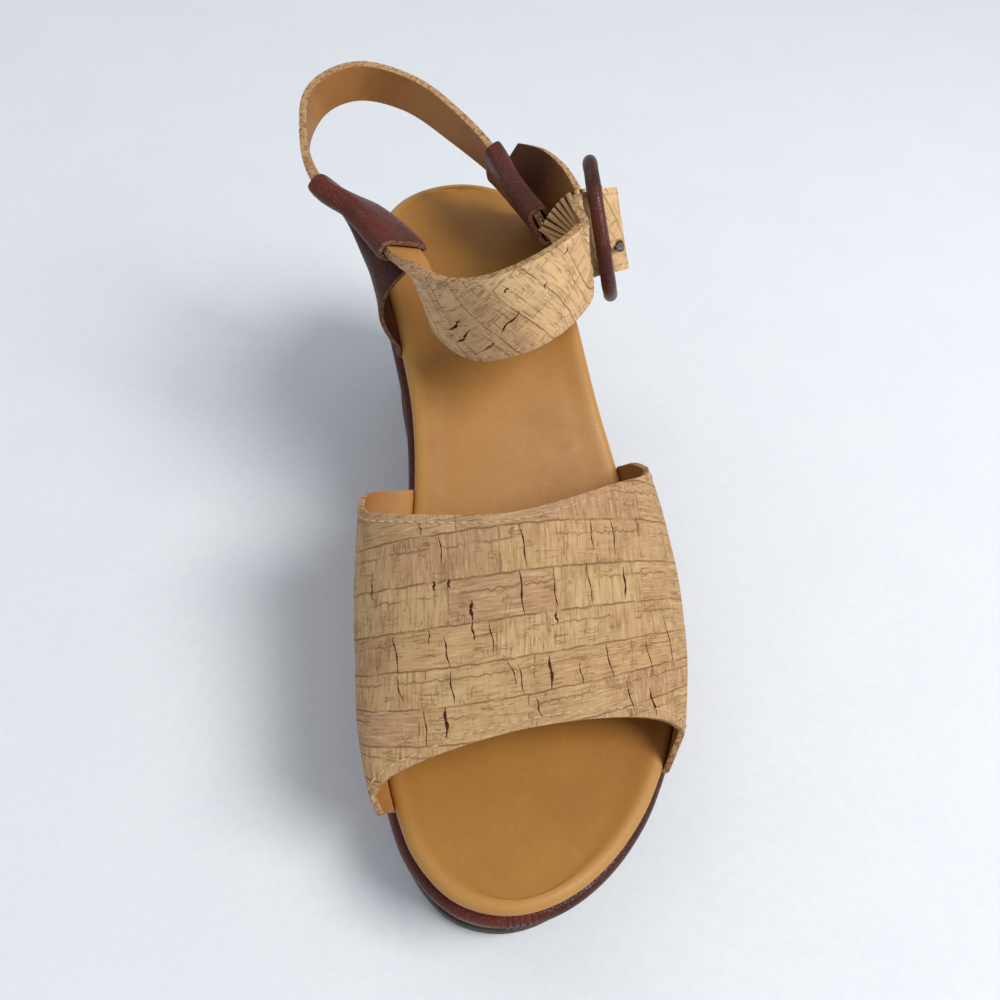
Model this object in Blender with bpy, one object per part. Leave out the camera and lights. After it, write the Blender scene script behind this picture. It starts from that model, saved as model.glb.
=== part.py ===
"""Platform sandal for the left foot: wrapped wedge, padded insole, cork vamp and buckled ankle strap.

Metres, +Z up. The toe points to -Y and the inner side of the foot to -X. While the pieces are
made, y is minus the distance from the back of the insole, and x is zero on the line through
the middle of the heel and the ball. At the end everything is moved so that the middle of the
bottom of the whole shoe is the origin.
"""
import math

import bmesh
import bpy
from mathutils import Matrix, Vector

# Last and footbed
INSOLE_LENGTH = 0.248
BALL_WIDTH = 0.092
SEAT_HEIGHT = 0.0869
FOREFOOT_HEIGHT = 0.0361
TOE_RISE = 0.0026
INSOLE_THICKNESS = 0.0055
INSOLE_ROUNDING = 0.0026
SEAT_DISH = 0.0012

# Wedge and outsole
RIM_OVERHANG = 0.0020
RIM_ROLL = 0.0030
BASE_TUCK = 0.0095
WALL_FLARE = 0.8
OUTSOLE_THICKNESS = 0.0040
OUTSOLE_PROUD = 0.0008
OUTSOLE_EASE = 0.0006
TOE_SPRING = 0.0060

# Upper
VAMP_WALL = 0.0018
VAMP_CROWN = 0.0835
VAMP_FRONT = 0.0612
VAMP_SHOULDER = 0.0128
VAMP_SIDE_SHARE = 0.17
VAMP_LEAN = 0.0056
VAMP_ROUND = 1.75
QUARTER_WALL = 0.0016
MARGIN = 0.0080
INNER_BELLY = 0.0090
OUTER_BELLY = 0.0015
STRAP_THICKNESS = 0.0024
HEEL_STRAP_WIDTH = 0.0137
INSTEP_STRAP_WIDTH = 0.0275
BILLET_WIDTH = 0.0248
ANKLE_HEIGHT = 0.1266
TAIL_LENGTH = 0.0450
LOOP_PLAY = 0.0010
LOOP_CORNER = 4.0
LOOP_START = -60.0
LOOP_TURN = 315.0
LOOP_STEPS = 21
STRAP_STEPS = 3

# Elastic and buckle
ELASTIC_WIDTH = 0.0120
ELASTIC_THICKNESS = 0.0013
BUCKLE_LENGTH = 0.0450
BUCKLE_WIDTH = 0.0380
BAR_WIDTH = 0.0050
BAR_THICKNESS = 0.0046
CENTRE_BAR = 0.0028
ELASTIC_RISE = 0.0068
ELASTIC_LEAD = 0.0060
ELASTIC_COLUMNS = 3
PRONG = 0.0021
PRONG_HOLE = 0.0036
PRONG_DROP = 0.0060

GAP = 0.0003
MARGIN_GAP = 0.0005

HALF_BALL = BALL_WIDTH / 2
STATIONS = 54

# Outline of the insole: along is a share of its length from the heel, inner and outer are
# shares of half the ball width, measured from the line through heel and ball.
OUTLINE = [
    # along, inner, outer
    (0.00, -0.07, 0.07),
    (0.02, 0.31, 0.41),
    (0.05, 0.49, 0.55),
    (0.10, 0.64, 0.64),
    (0.20, 0.69, 0.69),
    (0.30, 0.64, 0.71),
    (0.40, 0.61, 0.75),
    (0.50, 0.67, 0.84),
    (0.60, 0.815, 0.94),
    (0.70, 0.98, 0.975),
    (0.80, 1.08, 0.865),
    (0.90, 1.03, 0.54),
    (0.95, 0.91, 0.27),
    (0.98, 0.755, 0.02),
    (1.00, 0.40, -0.40),
]

# How far the foot of the wedge stands in from the insole's edge, as a share of BASE_TUCK.
TUCK = [
    # along, share
    (0.00, 0.42),
    (0.05, 0.55),
    (0.10, 0.88),
    (0.20, 1.00),
    (0.40, 0.80),
    (0.60, 0.58),
    (0.80, 0.27),
    (1.00, 0.16),
]

# Height of the footbed between forefoot and seat.
SEAT_END = 0.197
BALL_START = 0.742
TOE_RISE_START = 0.86
SPRING_START = 0.74

# Vamp edges: across runs from the outer to the inner foot of the strap, front and rear are
# shares of the insole's length.
VAMP_EDGES = [
    # across, front, rear
    (0.00, 0.874, 0.490),
    (0.12, 0.861, 0.513),
    (0.30, 0.840, 0.573),
    (0.50, 0.838, 0.626),
    (0.70, 0.853, 0.589),
    (0.88, 0.877, 0.525),
    (1.00, 0.866, 0.492),
]

# The inner wall of the vamp stands out past the insole where the last is waisted.
VAMP_BULGE = [
    # along, inner, outer, as shares of half the ball width
    (0.48, 0.296, 0.000),
    (0.53, 0.296, 0.050),
    (0.63, 0.240, 0.030),
    (0.72, 0.140, -0.035),
    (0.80, 0.095, -0.058),
    (0.87, 0.090, -0.010),
]

# Line of the ankle strap from the outer loop round the heel to the buckle. Ahead of the heel's
# end is a share of the insole's length, side (inner positive) a share of half the ball width,
# rise a share of ANKLE_HEIGHT, and the leans tilt the strap's top edge ahead and inward.
ANKLE_LINE = [
    # ahead, side, rise, lean_ahead, lean_side
    (0.232, -0.460, 0.848, 0.15, 0.60),
    (0.165, -0.345, 0.856, 0.25, 0.55),
    (0.098, -0.235, 0.869, 0.36, 0.22),
    (0.044, 0.004, 0.909, 0.40, -0.11),
    (0.009, 0.326, 0.968, 0.33, -0.21),
    (-0.003, 0.715, 0.995, 0.20, -0.01),
    (0.019, 1.035, 0.966, 0.34, 0.20),
    (0.075, 1.150, 0.904, 0.43, 0.02),
    (0.150, 1.030, 0.869, 0.46, 0.70),
    (0.195, 0.785, 0.856, 0.70, 1.30),
    (0.266, 0.580, 0.842, 0.95, 1.90),
    (0.315, 0.512, 0.836, 0.40, 0.75),
    (0.356, 0.491, 0.840, 0.06, 0.22),
    (0.410, 0.315, 0.862, -0.18, 0.29),
    (0.436, 0.057, 0.914, -0.17, 0.40),
    (0.425, -0.239, 0.951, -0.15, 0.25),
    (0.383, -0.490, 0.957, -0.21, 0.14),
]
OUTER_MOUTH, OUTER_REAR = 0, 2
INNER_REAR, INNER_MOUTH = 8, 10
FULL_WIDTH_FROM = 13

# Where each quarter stands on the insole's edge, as shares of the insole's length.
INNER_FOOT = (0.175, 0.325)
OUTER_FOOT = (0.105, 0.290)
ZONE_SLACK = 0.010
ZONE_RAMP = 0.008

# Buckle: where the strap dips under its front bar, and how the frame is turned.
BUCKLE_BACK, BUCKLE_SIDE, BUCKLE_RISE = 0.289, -0.765, 0.912
BUCKLE_YAW = math.radians(23.0)
BUCKLE_DIP = math.radians(35.0)
BUCKLE_ROLL = math.radians(-22.0)
BUCKLE_CORNER = 2.6
WEAVE = 0.0043

# The billet's weave through the buckle: along is a share of the way from the centre bar to the
# rear bar, out a share of WEAVE outward of the frame's middle, up a share of BUCKLE_LENGTH. The
# prong's hole starts at HOLE_AT and runs back.
HOLE_AT = -0.40
WEAVE_LINE = [
    # along, out, up
    (-1.15, -1.20, -0.045),
    (-0.77, -1.06, -0.022),
    (-0.40, 0.65, -0.020),
    (0.00, 1.35, -0.020),
    (0.40, 0.65, -0.010),
    (0.77, -1.04, 0.00),
    (1.15, -1.06, 0.00),
]

# The free tail beyond the buckle: length is a share of TAIL_LENGTH, width of the billet's, and
# inward and upward say how its heading turns from the buckle's.
TAIL_LINE = [
    # length, width, inward, upward
    (0.24, 0.92, 0.33, 0.45),
    (0.30, 0.82, 0.46, 0.95),
    (0.26, 0.60, 0.60, 0.92),
    (0.20, 0.22, 0.70, 0.95),
]


def clear_scene():
    """Take every object out of the open file."""
    for item in list(bpy.data.objects):
        bpy.data.objects.remove(item, do_unlink=True)


def material(name, colour, roughness, metallic=0.0):
    """A plain Principled material."""
    finish = bpy.data.materials.new(name)
    finish.use_nodes = True
    shader = finish.node_tree.nodes["Principled BSDF"]
    shader.inputs["Base Color"].default_value = (*colour, 1.0)
    shader.inputs["Roughness"].default_value = roughness
    shader.inputs["Metallic"].default_value = metallic
    return finish


def place(back, inner, height):
    """The point a distance in front of the insole's back end, inward of its line, above the floor."""
    return Vector((-inner, -back, height))


def spline(rows, column, position):
    """Smooth value of a table's column at a position between its first column's values."""
    keys = [row[0] for row in rows]
    last = len(rows) - 2
    span = max(0, min(last, sum(1 for key in keys[1:-1] if key <= position)))
    values = [row[column] for row in rows]

    def slope(k):
        low, high = max(k - 1, 0), min(k + 1, len(rows) - 1)
        return (values[high] - values[low]) / (keys[high] - keys[low])

    length = keys[span + 1] - keys[span]
    t = min(max((position - keys[span]) / length, 0.0), 1.0)
    h00 = 2 * t ** 3 - 3 * t ** 2 + 1
    h10 = t ** 3 - 2 * t ** 2 + t
    h01 = -2 * t ** 3 + 3 * t ** 2
    h11 = t ** 3 - t ** 2
    return (h00 * values[span] + h10 * length * slope(span)
            + h01 * values[span + 1] + h11 * length * slope(span + 1))


def smoothstep(value):
    """Ease from 0 to 1."""
    value = min(max(value, 0.0), 1.0)
    return value * value * (3 - 2 * value)


def turn_of(along):
    """Angle round the outline, from 0 at the heel to pi at the toe, of a share of the length."""
    return math.acos(1 - 2 * along)


TURNED_OUTLINE = [(turn_of(along), inner, outer) for along, inner, outer in OUTLINE]


def half_widths(along):
    """Inner and outer half width of the insole at a share of its length."""
    turn = turn_of(min(max(along, 0.0), 1.0))
    return spline(TURNED_OUTLINE, 1, turn) * HALF_BALL, spline(TURNED_OUTLINE, 2, turn) * HALF_BALL


def bed_height(along):
    """Height of the insole's top at a share of its length."""
    ramp = smoothstep((along - SEAT_END) / (BALL_START - SEAT_END))
    rise = max(0.0, (along - TOE_RISE_START) / (1 - TOE_RISE_START)) ** 2
    return SEAT_HEIGHT + (FOREFOOT_HEIGHT - SEAT_HEIGHT) * ramp + TOE_RISE * rise


def floor_height(along):
    """Height of the outsole's bottom: flat up to the ball, then springing up to the toe."""
    return TOE_SPRING * max(0.0, (along - SPRING_START) / (1 - SPRING_START)) ** 2


def edge_point(turn):
    """Back and inner coordinates on the insole's outline, from heel round the inner side to the toe
    (turn 0 to pi) and back along the outer side (pi to 2 pi)."""
    along = (1 - math.cos(turn)) / 2
    inner, outer = half_widths(along)
    return along * INSOLE_LENGTH, inner if turn <= math.pi else -outer


def edge_normal(turn):
    """Outward direction of the outline at a turn, in back and inner coordinates."""
    step = 0.02
    back_a, inner_a = edge_point((turn - step) % (2 * math.pi))
    back_b, inner_b = edge_point((turn + step) % (2 * math.pi))
    tangent = Vector((back_b - back_a, inner_b - inner_a)).normalized()
    return Vector((-tangent.y, tangent.x))


def ring_turns(extra=()):
    """Turns of the stations from heel to toe, with extra ones at given shares of the length."""
    added = [turn_of(along) for along in extra]
    plain = [math.pi * k / STATIONS for k in range(STATIONS + 1)]
    clear = 0.6 * math.pi / STATIONS
    kept = [turn for turn in plain[1:-1] if all(abs(turn - other) > clear for other in added)]
    return sorted([plain[0], plain[-1]] + kept + added)


def flank(along, side, outset, height):
    """A point beside the insole's outline: outset outward of it, its height a function of along."""
    turn = turn_of(min(max(along, 0.0), 1.0))
    if side < 0:
        turn = (2 * math.pi - turn) % (2 * math.pi)
    back, inner = edge_point(turn)
    shift = edge_normal(turn) * outset
    reached = min(max((back + shift.x) / INSOLE_LENGTH, 0.0), 1.0)
    return place(back + shift.x, inner + shift.y, height(reached))


def ring(turns, outset, height):
    """A closed loop of points round the outline; outset and height are functions of along."""
    stations = [((1 - math.cos(turn)) / 2, 1) for turn in turns]
    stations += [(along, -1) for along, side in reversed(stations[1:-1])]
    return [flank(along, side, outset(along), height) for along, side in stations]


def new_object(name, mesh, finish):
    """Link a mesh as a named object with its material."""
    mesh.materials.append(finish)
    item = bpy.data.objects.new(name, mesh)
    bpy.context.scene.collection.objects.link(item)
    return item


def finish_mesh(shape, name, sharp=math.radians(40)):
    """Turn a bmesh into a smooth-shaded mesh with its faces pointing out."""
    bmesh.ops.recalc_face_normals(shape, faces=shape.faces)
    mesh = bpy.data.meshes.new(name)
    shape.to_mesh(mesh)
    shape.free()
    mesh.shade_smooth()
    mesh.set_sharp_from_angle(angle=sharp)
    return mesh


def close_ring(shape, verts, count, dish=None):
    """Close a ring of a hull with a ladder of quads between its inner and outer stations."""
    stations = len(verts) // 2 + 1
    inner = verts[:stations]
    outer = [verts[0]] + [verts[-k] for k in range(1, stations - 1)] + [verts[stations - 1]]
    rows = []
    for k in range(stations):
        if k in (0, stations - 1):
            rows.append([inner[k]])
            continue
        row = [inner[k]]
        for step in range(1, count):
            share = step / count
            spot = inner[k].co.lerp(outer[k].co, share)
            if dish:
                spot.z -= dish(k / (stations - 1)) * math.sin(math.pi * share)
            row.append(shape.verts.new(spot))
        row.append(outer[k])
        rows.append(row)
    for low, high in zip(rows, rows[1:]):
        if len(low) == 1:
            for a, b in zip(high, high[1:]):
                shape.faces.new((low[0], a, b))
        elif len(high) == 1:
            for a, b in zip(low, low[1:]):
                shape.faces.new((a, b, high[0]))
        else:
            for k in range(len(low) - 1):
                shape.faces.new((low[k], low[k + 1], high[k + 1], high[k]))


def hull(name, rings, finish, dish=None):
    """A closed body lofted through rings from top to bottom."""
    shape = bmesh.new()
    loops = [[shape.verts.new(point) for point in points] for points in rings]
    for upper, lower in zip(loops, loops[1:]):
        size = len(upper)
        for k in range(size):
            shape.faces.new((upper[k], upper[(k + 1) % size], lower[(k + 1) % size], lower[k]))
    close_ring(shape, loops[0], 4 if dish else 1, dish)
    close_ring(shape, loops[-1], 1)
    return new_object(name, finish_mesh(shape, name), finish)


def sheet(name, rows, thickness, finish, even=True, hole=()):
    """A flexible piece: a grid of points given a real thickness, half to each side. The hole lists
    the row and column of each cell that is left open."""
    shape = bmesh.new()
    grid = [[shape.verts.new(point) for point in row] for row in rows]
    for i, (low, high) in enumerate(zip(grid, grid[1:])):
        for k in range(len(low) - 1):
            if (i, k) not in hole:
                shape.faces.new((low[k], low[k + 1], high[k + 1], high[k]))
    mesh = bpy.data.meshes.new(name)
    bmesh.ops.recalc_face_normals(shape, faces=shape.faces)
    shape.to_mesh(mesh)
    shape.free()
    mesh.shade_smooth()
    item = new_object(name, mesh, finish)
    wall = item.modifiers.new("wall", "SOLIDIFY")
    wall.thickness = thickness
    wall.offset = 0.0
    wall.use_even_offset = even
    wall.use_quality_normals = True
    return item


def base_outset(along):
    """Outset of the wedge's foot from the insole's edge."""
    return -spline(TUCK, 1, along) * BASE_TUCK


def margin_zones():
    """Stretches of the insole, as shares of its length, under which the upper's margins are tucked."""
    front = max(row[1] for row in VAMP_EDGES)
    rear = min(row[2] for row in VAMP_EDGES)
    return [(OUTER_FOOT[0] - ZONE_SLACK, INNER_FOOT[1] + ZONE_SLACK), (rear - ZONE_SLACK, front + ZONE_SLACK)]


def bed_turns():
    """Stations shared by the insole and the wedge's top."""
    extra = []
    for low, high in margin_zones():
        extra += [low - ZONE_RAMP, low, high, high + ZONE_RAMP]
    return ring_turns(extra)


def insole_bottom(along):
    """Height of the insole's underside where nothing is tucked under it."""
    return bed_height(along) - INSOLE_THICKNESS


def rebate(along):
    """Depth of the rebate in the insole's underside."""
    inside = any(low - 1e-4 <= along <= high + 1e-4 for low, high in margin_zones())
    return max(VAMP_WALL, QUARTER_WALL) + 2 * GAP if inside else 0.0


def make_insole(finish):
    """The padded footbed, rebated underneath where the vamp and the quarters tuck in."""
    turns = bed_turns()
    r = INSOLE_ROUNDING
    depth = max(VAMP_WALL, QUARTER_WALL) + 2 * GAP

    def side_ring(outset, drop):
        return ring(turns, lambda along: outset, lambda along: bed_height(along) - drop)

    def under_ring(outset):
        stations = [((1 - math.cos(turn)) / 2, 1) for turn in turns]
        stations += [(along, -1) for along, side in reversed(stations[1:-1])]
        return [flank(along, side, outset, lambda reached, at=along: insole_bottom(reached) + rebate(at))
                for along, side in stations]

    inner = -MARGIN - MARGIN_GAP
    rings = [
        side_ring(-1.3 * r, 0.0),
        side_ring(-0.6 * r, 0.12 * r),
        side_ring(-0.15 * r, 0.5 * r),
        side_ring(0.0, r),
        side_ring(-0.12 * r, INSOLE_THICKNESS - depth - 0.1 * r),
        under_ring(-0.3 * r),
        under_ring(inner),
        ring(turns, lambda along: inner - MARGIN_GAP, insole_bottom),
    ]
    return hull("insole", rings, finish, dish=lambda share: SEAT_DISH * (1 - smoothstep(share * 2.2)))


def platform_top(along):
    """Height of the wedge's top face under the insole."""
    return insole_bottom(along) - GAP


def platform_foot(along):
    """Height of the wedge's bottom face on the outsole."""
    return floor_height(along) + OUTSOLE_THICKNESS + GAP


def make_platform(finish):
    """The wrapped wedge, with a rolled rim and walls drawn in towards the floor."""
    turns = bed_turns()

    def wall_ring(share):
        def outset(along):
            return RIM_OVERHANG + (base_outset(along) - RIM_OVERHANG) * share ** WALL_FLARE

        def height(along):
            rim = platform_top(along) - RIM_ROLL
            return rim + (platform_foot(along) - rim) * share

        return ring(turns, outset, height)

    def rim_ring(inset, drop):
        return ring(turns, lambda along: RIM_OVERHANG - inset * RIM_ROLL,
                    lambda along: platform_top(along) - drop * RIM_ROLL)

    rings = [rim_ring(1.1, 0.0), rim_ring(0.45, 0.12), rim_ring(0.1, 0.45)]
    rings += [wall_ring(share) for share in (0.0, 0.3, 0.65, 1.0)]
    return hull("platform", rings, finish)


def make_outsole(finish):
    """The rubber bottom, a little proud of the wedge, with eased edges."""
    turns = ring_turns((SPRING_START,))

    def level_ring(inset, rise):
        return ring(turns, lambda along: base_outset(along) + OUTSOLE_PROUD - inset,
                    lambda along: floor_height(along) + rise)

    ease = OUTSOLE_EASE
    rings = [level_ring(ease, OUTSOLE_THICKNESS), level_ring(0.0, OUTSOLE_THICKNESS - ease),
             level_ring(0.0, ease), level_ring(ease, 0.0)]
    return hull("outsole", rings, finish)


def foot_path(along, side, wall):
    """A margin's points, from its hidden end under the insole to the wall beside the insole's edge."""
    clear = GAP + wall / 2

    def risen(share):
        return lambda reached: platform_top(reached) + clear * (1 + share)

    return [flank(along, side, -MARGIN, risen(0.0)),
            flank(along, side, -0.3 * MARGIN, risen(0.0)),
            flank(along, side, -0.1 * clear, risen(0.15)),
            flank(along, side, 0.85 * clear, risen(0.95)),
            flank(along, side, clear, risen(2.2))]


def vamp_crown(along):
    """Height of the vamp's ridge over a share of the insole's length."""
    front, rear = VAMP_EDGES[3][1], VAMP_EDGES[3][2]
    share = (along - front) / (rear - front)
    return VAMP_FRONT + (VAMP_CROWN - VAMP_FRONT) * share - VAMP_WALL / 2


def vamp_side(along, side, rise):
    """Point of the vamp's side at a share of its way from the insole's edge up to its bulge."""
    clear = GAP + VAMP_WALL / 2
    bulge = spline(VAMP_BULGE, 1 if side > 0 else 2, along) * HALF_BALL

    def height(reached):
        start = platform_top(reached) + 3.2 * clear
        return start + (bed_height(reached) + VAMP_SHOULDER - start) * rise

    return flank(along, side, clear + bulge * math.sin(rise * math.pi / 2), height)


def vamp_section(across, along):
    """Point of the vamp's wall at a share of its way over the foot and of the insole's length."""
    if across < VAMP_SIDE_SHARE:
        return vamp_side(along, -1, across / VAMP_SIDE_SHARE)
    if across > 1 - VAMP_SIDE_SHARE:
        return vamp_side(along, 1, (1 - across) / VAMP_SIDE_SHARE)
    outer = vamp_side(along, -1, 1.0)
    inner = vamp_side(along, 1, 1.0)
    turn = math.pi * (across - VAMP_SIDE_SHARE) / (1 - 2 * VAMP_SIDE_SHARE)
    swing = math.copysign(abs(math.cos(turn)) ** (2 / VAMP_ROUND), math.cos(turn))
    lift = abs(math.sin(turn)) ** (2 / VAMP_ROUND)
    spot = outer.lerp(inner, (1 - swing) / 2)
    spot.x -= VAMP_LEAN * math.sin(turn)
    spot.z += (vamp_crown(along) - spot.z) * lift
    return spot


def make_vamp(finish):
    """The wide strap over the toes."""
    spans = 12
    steps = 30
    rows = []
    for i in range(spans + 1):
        share = i / spans

        def along_at(across):
            front = spline(VAMP_EDGES, 1, across)
            return front + (spline(VAMP_EDGES, 2, across) - front) * share

        row = foot_path(along_at(0.0), -1, VAMP_WALL)[:-1]
        row += [vamp_section(j / steps, along_at(j / steps)) for j in range(steps + 1)]
        row += reversed(foot_path(along_at(1.0), 1, VAMP_WALL)[:-1])
        rows.append(row)
    return sheet("vamp", rows, VAMP_WALL, finish)


def curve_through(points, steps):
    """Points on a smooth curve through the given ones, with steps points in each span."""
    result = []
    count = len(points)
    for k in range(count - 1):
        before = points[max(k - 1, 0)]
        a, b = points[k], points[k + 1]
        after = points[min(k + 2, count - 1)]
        for step in range(steps):
            t = step / steps
            result.append(0.5 * ((2 * a) + (b - before) * t + (2 * before - 5 * a + 4 * b - after) * t ** 2
                                 + (3 * a - before - 3 * b + after) * t ** 3))
    result.append(points[-1].copy())
    return result


def buckle_frame():
    """Centre and the three directions of the buckle: towards its rear bar, up it, and outward."""
    centre = place(BUCKLE_BACK * INSOLE_LENGTH, BUCKLE_SIDE * HALF_BALL, BUCKLE_RISE * ANKLE_HEIGHT)
    rearward = Vector((math.sin(BUCKLE_YAW) * math.cos(BUCKLE_DIP),
                       math.cos(BUCKLE_YAW) * math.cos(BUCKLE_DIP), -math.sin(BUCKLE_DIP)))
    upright = (Vector((0, 0, 1)) - rearward * rearward.z).normalized()
    upright = Matrix.Rotation(BUCKLE_ROLL, 3, rearward) @ upright
    outward = rearward.cross(upright)
    return centre, rearward, upright, outward


def ankle_key(row):
    """Centre and across direction of a row of the ankle line."""
    ahead, side, rise, lean_ahead, lean_side = row
    centre = place(ahead * INSOLE_LENGTH, side * HALF_BALL, rise * ANKLE_HEIGHT)
    return centre, Vector((-lean_side, -lean_ahead, 1.0)).normalized()


def ankle_width(k):
    """Width of the strap at a row of the ankle line."""
    if k <= INNER_MOUTH:
        return HEEL_STRAP_WIDTH
    share = smoothstep((k - INNER_MOUTH) / (FULL_WIDTH_FROM - INNER_MOUTH))
    return HEEL_STRAP_WIDTH + (INSTEP_STRAP_WIDTH - HEEL_STRAP_WIDTH) * share


def strap_keys():
    """Centre, across direction and width of every section of the ankle strap."""
    keys = []
    for k, row in enumerate(ANKLE_LINE):
        centre, across = ankle_key(row)
        keys.append((centre, across, ankle_width(k)))
    centre, rearward, upright, outward = buckle_frame()
    reach = (BUCKLE_WIDTH - BAR_WIDTH) / 2
    for along, out, up in WEAVE_LINE:
        spot = centre + rearward * reach * along + outward * WEAVE * out + upright * up * BUCKLE_LENGTH
        keys.append((spot, upright, BILLET_WIDTH))
    for length, width, inward, upward in TAIL_LINE:
        heading = (rearward * (1 - inward) - outward * inward + upright * upward).normalized()
        spot = keys[-1][0] + heading * TAIL_LENGTH * length
        keys.append((spot, (upright - heading * upright.dot(heading)).normalized(), BILLET_WIDTH * width))
    return keys


def ribbon_frames(keys, steps):
    """Centre, across direction, width and heading of each section of a ribbon."""
    centres = curve_through([key[0] for key in keys], steps)
    acrosses = curve_through([key[1] for key in keys], steps)
    widths = curve_through([Vector((key[2], 0, 0)) for key in keys], steps)
    frames = []
    for k, centre in enumerate(centres):
        heading = centres[min(k + 1, len(centres) - 1)] - centres[max(k - 1, 0)]
        heading.normalize()
        across = acrosses[k] - heading * acrosses[k].dot(heading)
        across.normalize()
        frames.append((centre, across, widths[k].x, heading))
    return frames


def ribbon_rows(frames, columns):
    """Grid of points of a ribbon through its sections; columns are shares of its width."""
    return [[centre + across * width * column for column in columns]
            for centre, across, width, heading in frames]


def prong_spot():
    """Where the prong is hooked on the centre bar."""
    centre, rearward, upright, outward = buckle_frame()
    return centre - upright * PRONG_DROP


def make_ankle_strap(finish):
    """Heel part, instep part, billet and tail in one strap, with the prong's hole."""
    hole_row = [row[0] for row in WEAVE_LINE].index(HOLE_AT)
    middle = (-PRONG_DROP - WEAVE_LINE[hole_row][2] * BUCKLE_LENGTH) / BILLET_WIDTH
    half = PRONG_HOLE / 2 / BILLET_WIDTH
    columns = (-0.5, middle - half, middle + half, (middle + half + 0.5) / 2, 0.5)
    rows = ribbon_rows(ribbon_frames(strap_keys(), STRAP_STEPS), columns)
    start = (len(ANKLE_LINE) + hole_row) * STRAP_STEPS
    hole = [(start, 1), (start + 1, 1)]
    return sheet("ankle_strap", rows, STRAP_THICKNESS, finish, even=False, hole=hole)


def make_quarter(name, side, foot, belly, rear, mouth, finish):
    """A leather tab that stands on the insole's edge, swells outward and is folded over into a loop."""
    tall = HEEL_STRAP_WIDTH / 2 + LOOP_PLAY + QUARTER_WALL / 2
    thick = STRAP_THICKNESS / 2 + LOOP_PLAY + QUARTER_WALL / 2
    frames = ribbon_frames(strap_keys(), STRAP_STEPS)
    step = 1 if mouth > rear else -1
    sections = [frames[k] for k in range(rear * STRAP_STEPS, mouth * STRAP_STEPS + step, step)]
    rows = []
    for k, (centre, up, width, heading) in enumerate(sections):
        share = k / (len(sections) - 1)
        along = foot[0] + (foot[1] - foot[0]) * share
        outward = up.cross(heading)
        if outward.x * -side < 0:
            outward = -outward

        def fold_point(degrees):
            angle = math.radians(degrees)
            c, s = math.cos(angle), math.sin(angle)
            reach = (abs(c) ** LOOP_CORNER + abs(s) ** LOOP_CORNER) ** (-1 / LOOP_CORNER)
            return centre + up * tall * s * reach + outward * thick * c * reach

        row = foot_path(along, side, QUARTER_WALL)
        knee = flank(along, side, GAP + QUARTER_WALL / 2, lambda reached: bed_height(reached) - GAP)
        start = fold_point(LOOP_START)
        row.append(knee)
        for way in (0.25, 0.5, 0.75):
            swell = Vector((-side * belly * share * math.sin(math.pi * way), 0, 0))
            row.append(knee.lerp(start, way) + swell)
        row += [fold_point(LOOP_START + LOOP_TURN * k / LOOP_STEPS) for k in range(LOOP_STEPS + 1)]
        rows.append(row)
    return sheet(name, rows, QUARTER_WALL, finish)


def superellipse(half_long, half_short, corner, count):
    """Points of a rounded frame's path, long way and short way."""
    points = []
    for k in range(count):
        angle = 2 * math.pi * k / count
        c, s = math.cos(angle), math.sin(angle)
        points.append((math.copysign(abs(s) ** (2 / corner), s) * half_long,
                       math.copysign(abs(c) ** (2 / corner), c) * half_short))
    return points


def make_buckle(finish):
    """The leather-covered oval frame with its centre bar."""
    centre, rearward, upright, outward = buckle_frame()
    path = superellipse((BUCKLE_LENGTH - BAR_WIDTH) / 2, (BUCKLE_WIDTH - BAR_WIDTH) / 2, BUCKLE_CORNER, 40)
    shape = bmesh.new()
    loops = []
    sides = 10
    for k, (long_way, short_way) in enumerate(path):
        before, after = path[k - 1], path[(k + 1) % len(path)]
        tangent = Vector((after[0] - before[0], after[1] - before[1])).normalized()
        spot = centre + upright * long_way + rearward * short_way
        flank = upright * -tangent.y + rearward * tangent.x
        loop = []
        for j in range(sides):
            angle = 2 * math.pi * j / sides
            loop.append(shape.verts.new(spot + flank * math.cos(angle) * BAR_WIDTH / 2
                                        + outward * math.sin(angle) * BAR_THICKNESS / 2))
        loops.append(loop)
    for k, loop in enumerate(loops):
        after = loops[(k + 1) % len(loops)]
        for j in range(sides):
            shape.faces.new((loop[j], loop[(j + 1) % sides], after[(j + 1) % sides], after[j]))
    frame = new_object("buckle", finish_mesh(shape, "buckle"), finish)

    rod = bmesh.new()
    length = BUCKLE_LENGTH - BAR_WIDTH
    bmesh.ops.create_cone(rod, cap_ends=True, segments=12, radius1=CENTRE_BAR / 2,
                          radius2=CENTRE_BAR / 2, depth=length)
    turn = Matrix((rearward, outward, upright)).transposed().to_4x4()
    bmesh.ops.transform(rod, matrix=Matrix.Translation(centre) @ turn, verts=rod.verts)
    bar = new_object("buckle_bar_guide", finish_mesh(rod, "buckle_bar_guide"), finish)
    bar.hide_render = True
    bar.display_type = "WIRE"
    join = frame.modifiers.new("centre bar", "BOOLEAN")
    join.operation = "UNION"
    join.solver = "EXACT"
    join.object = bar
    return frame


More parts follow.
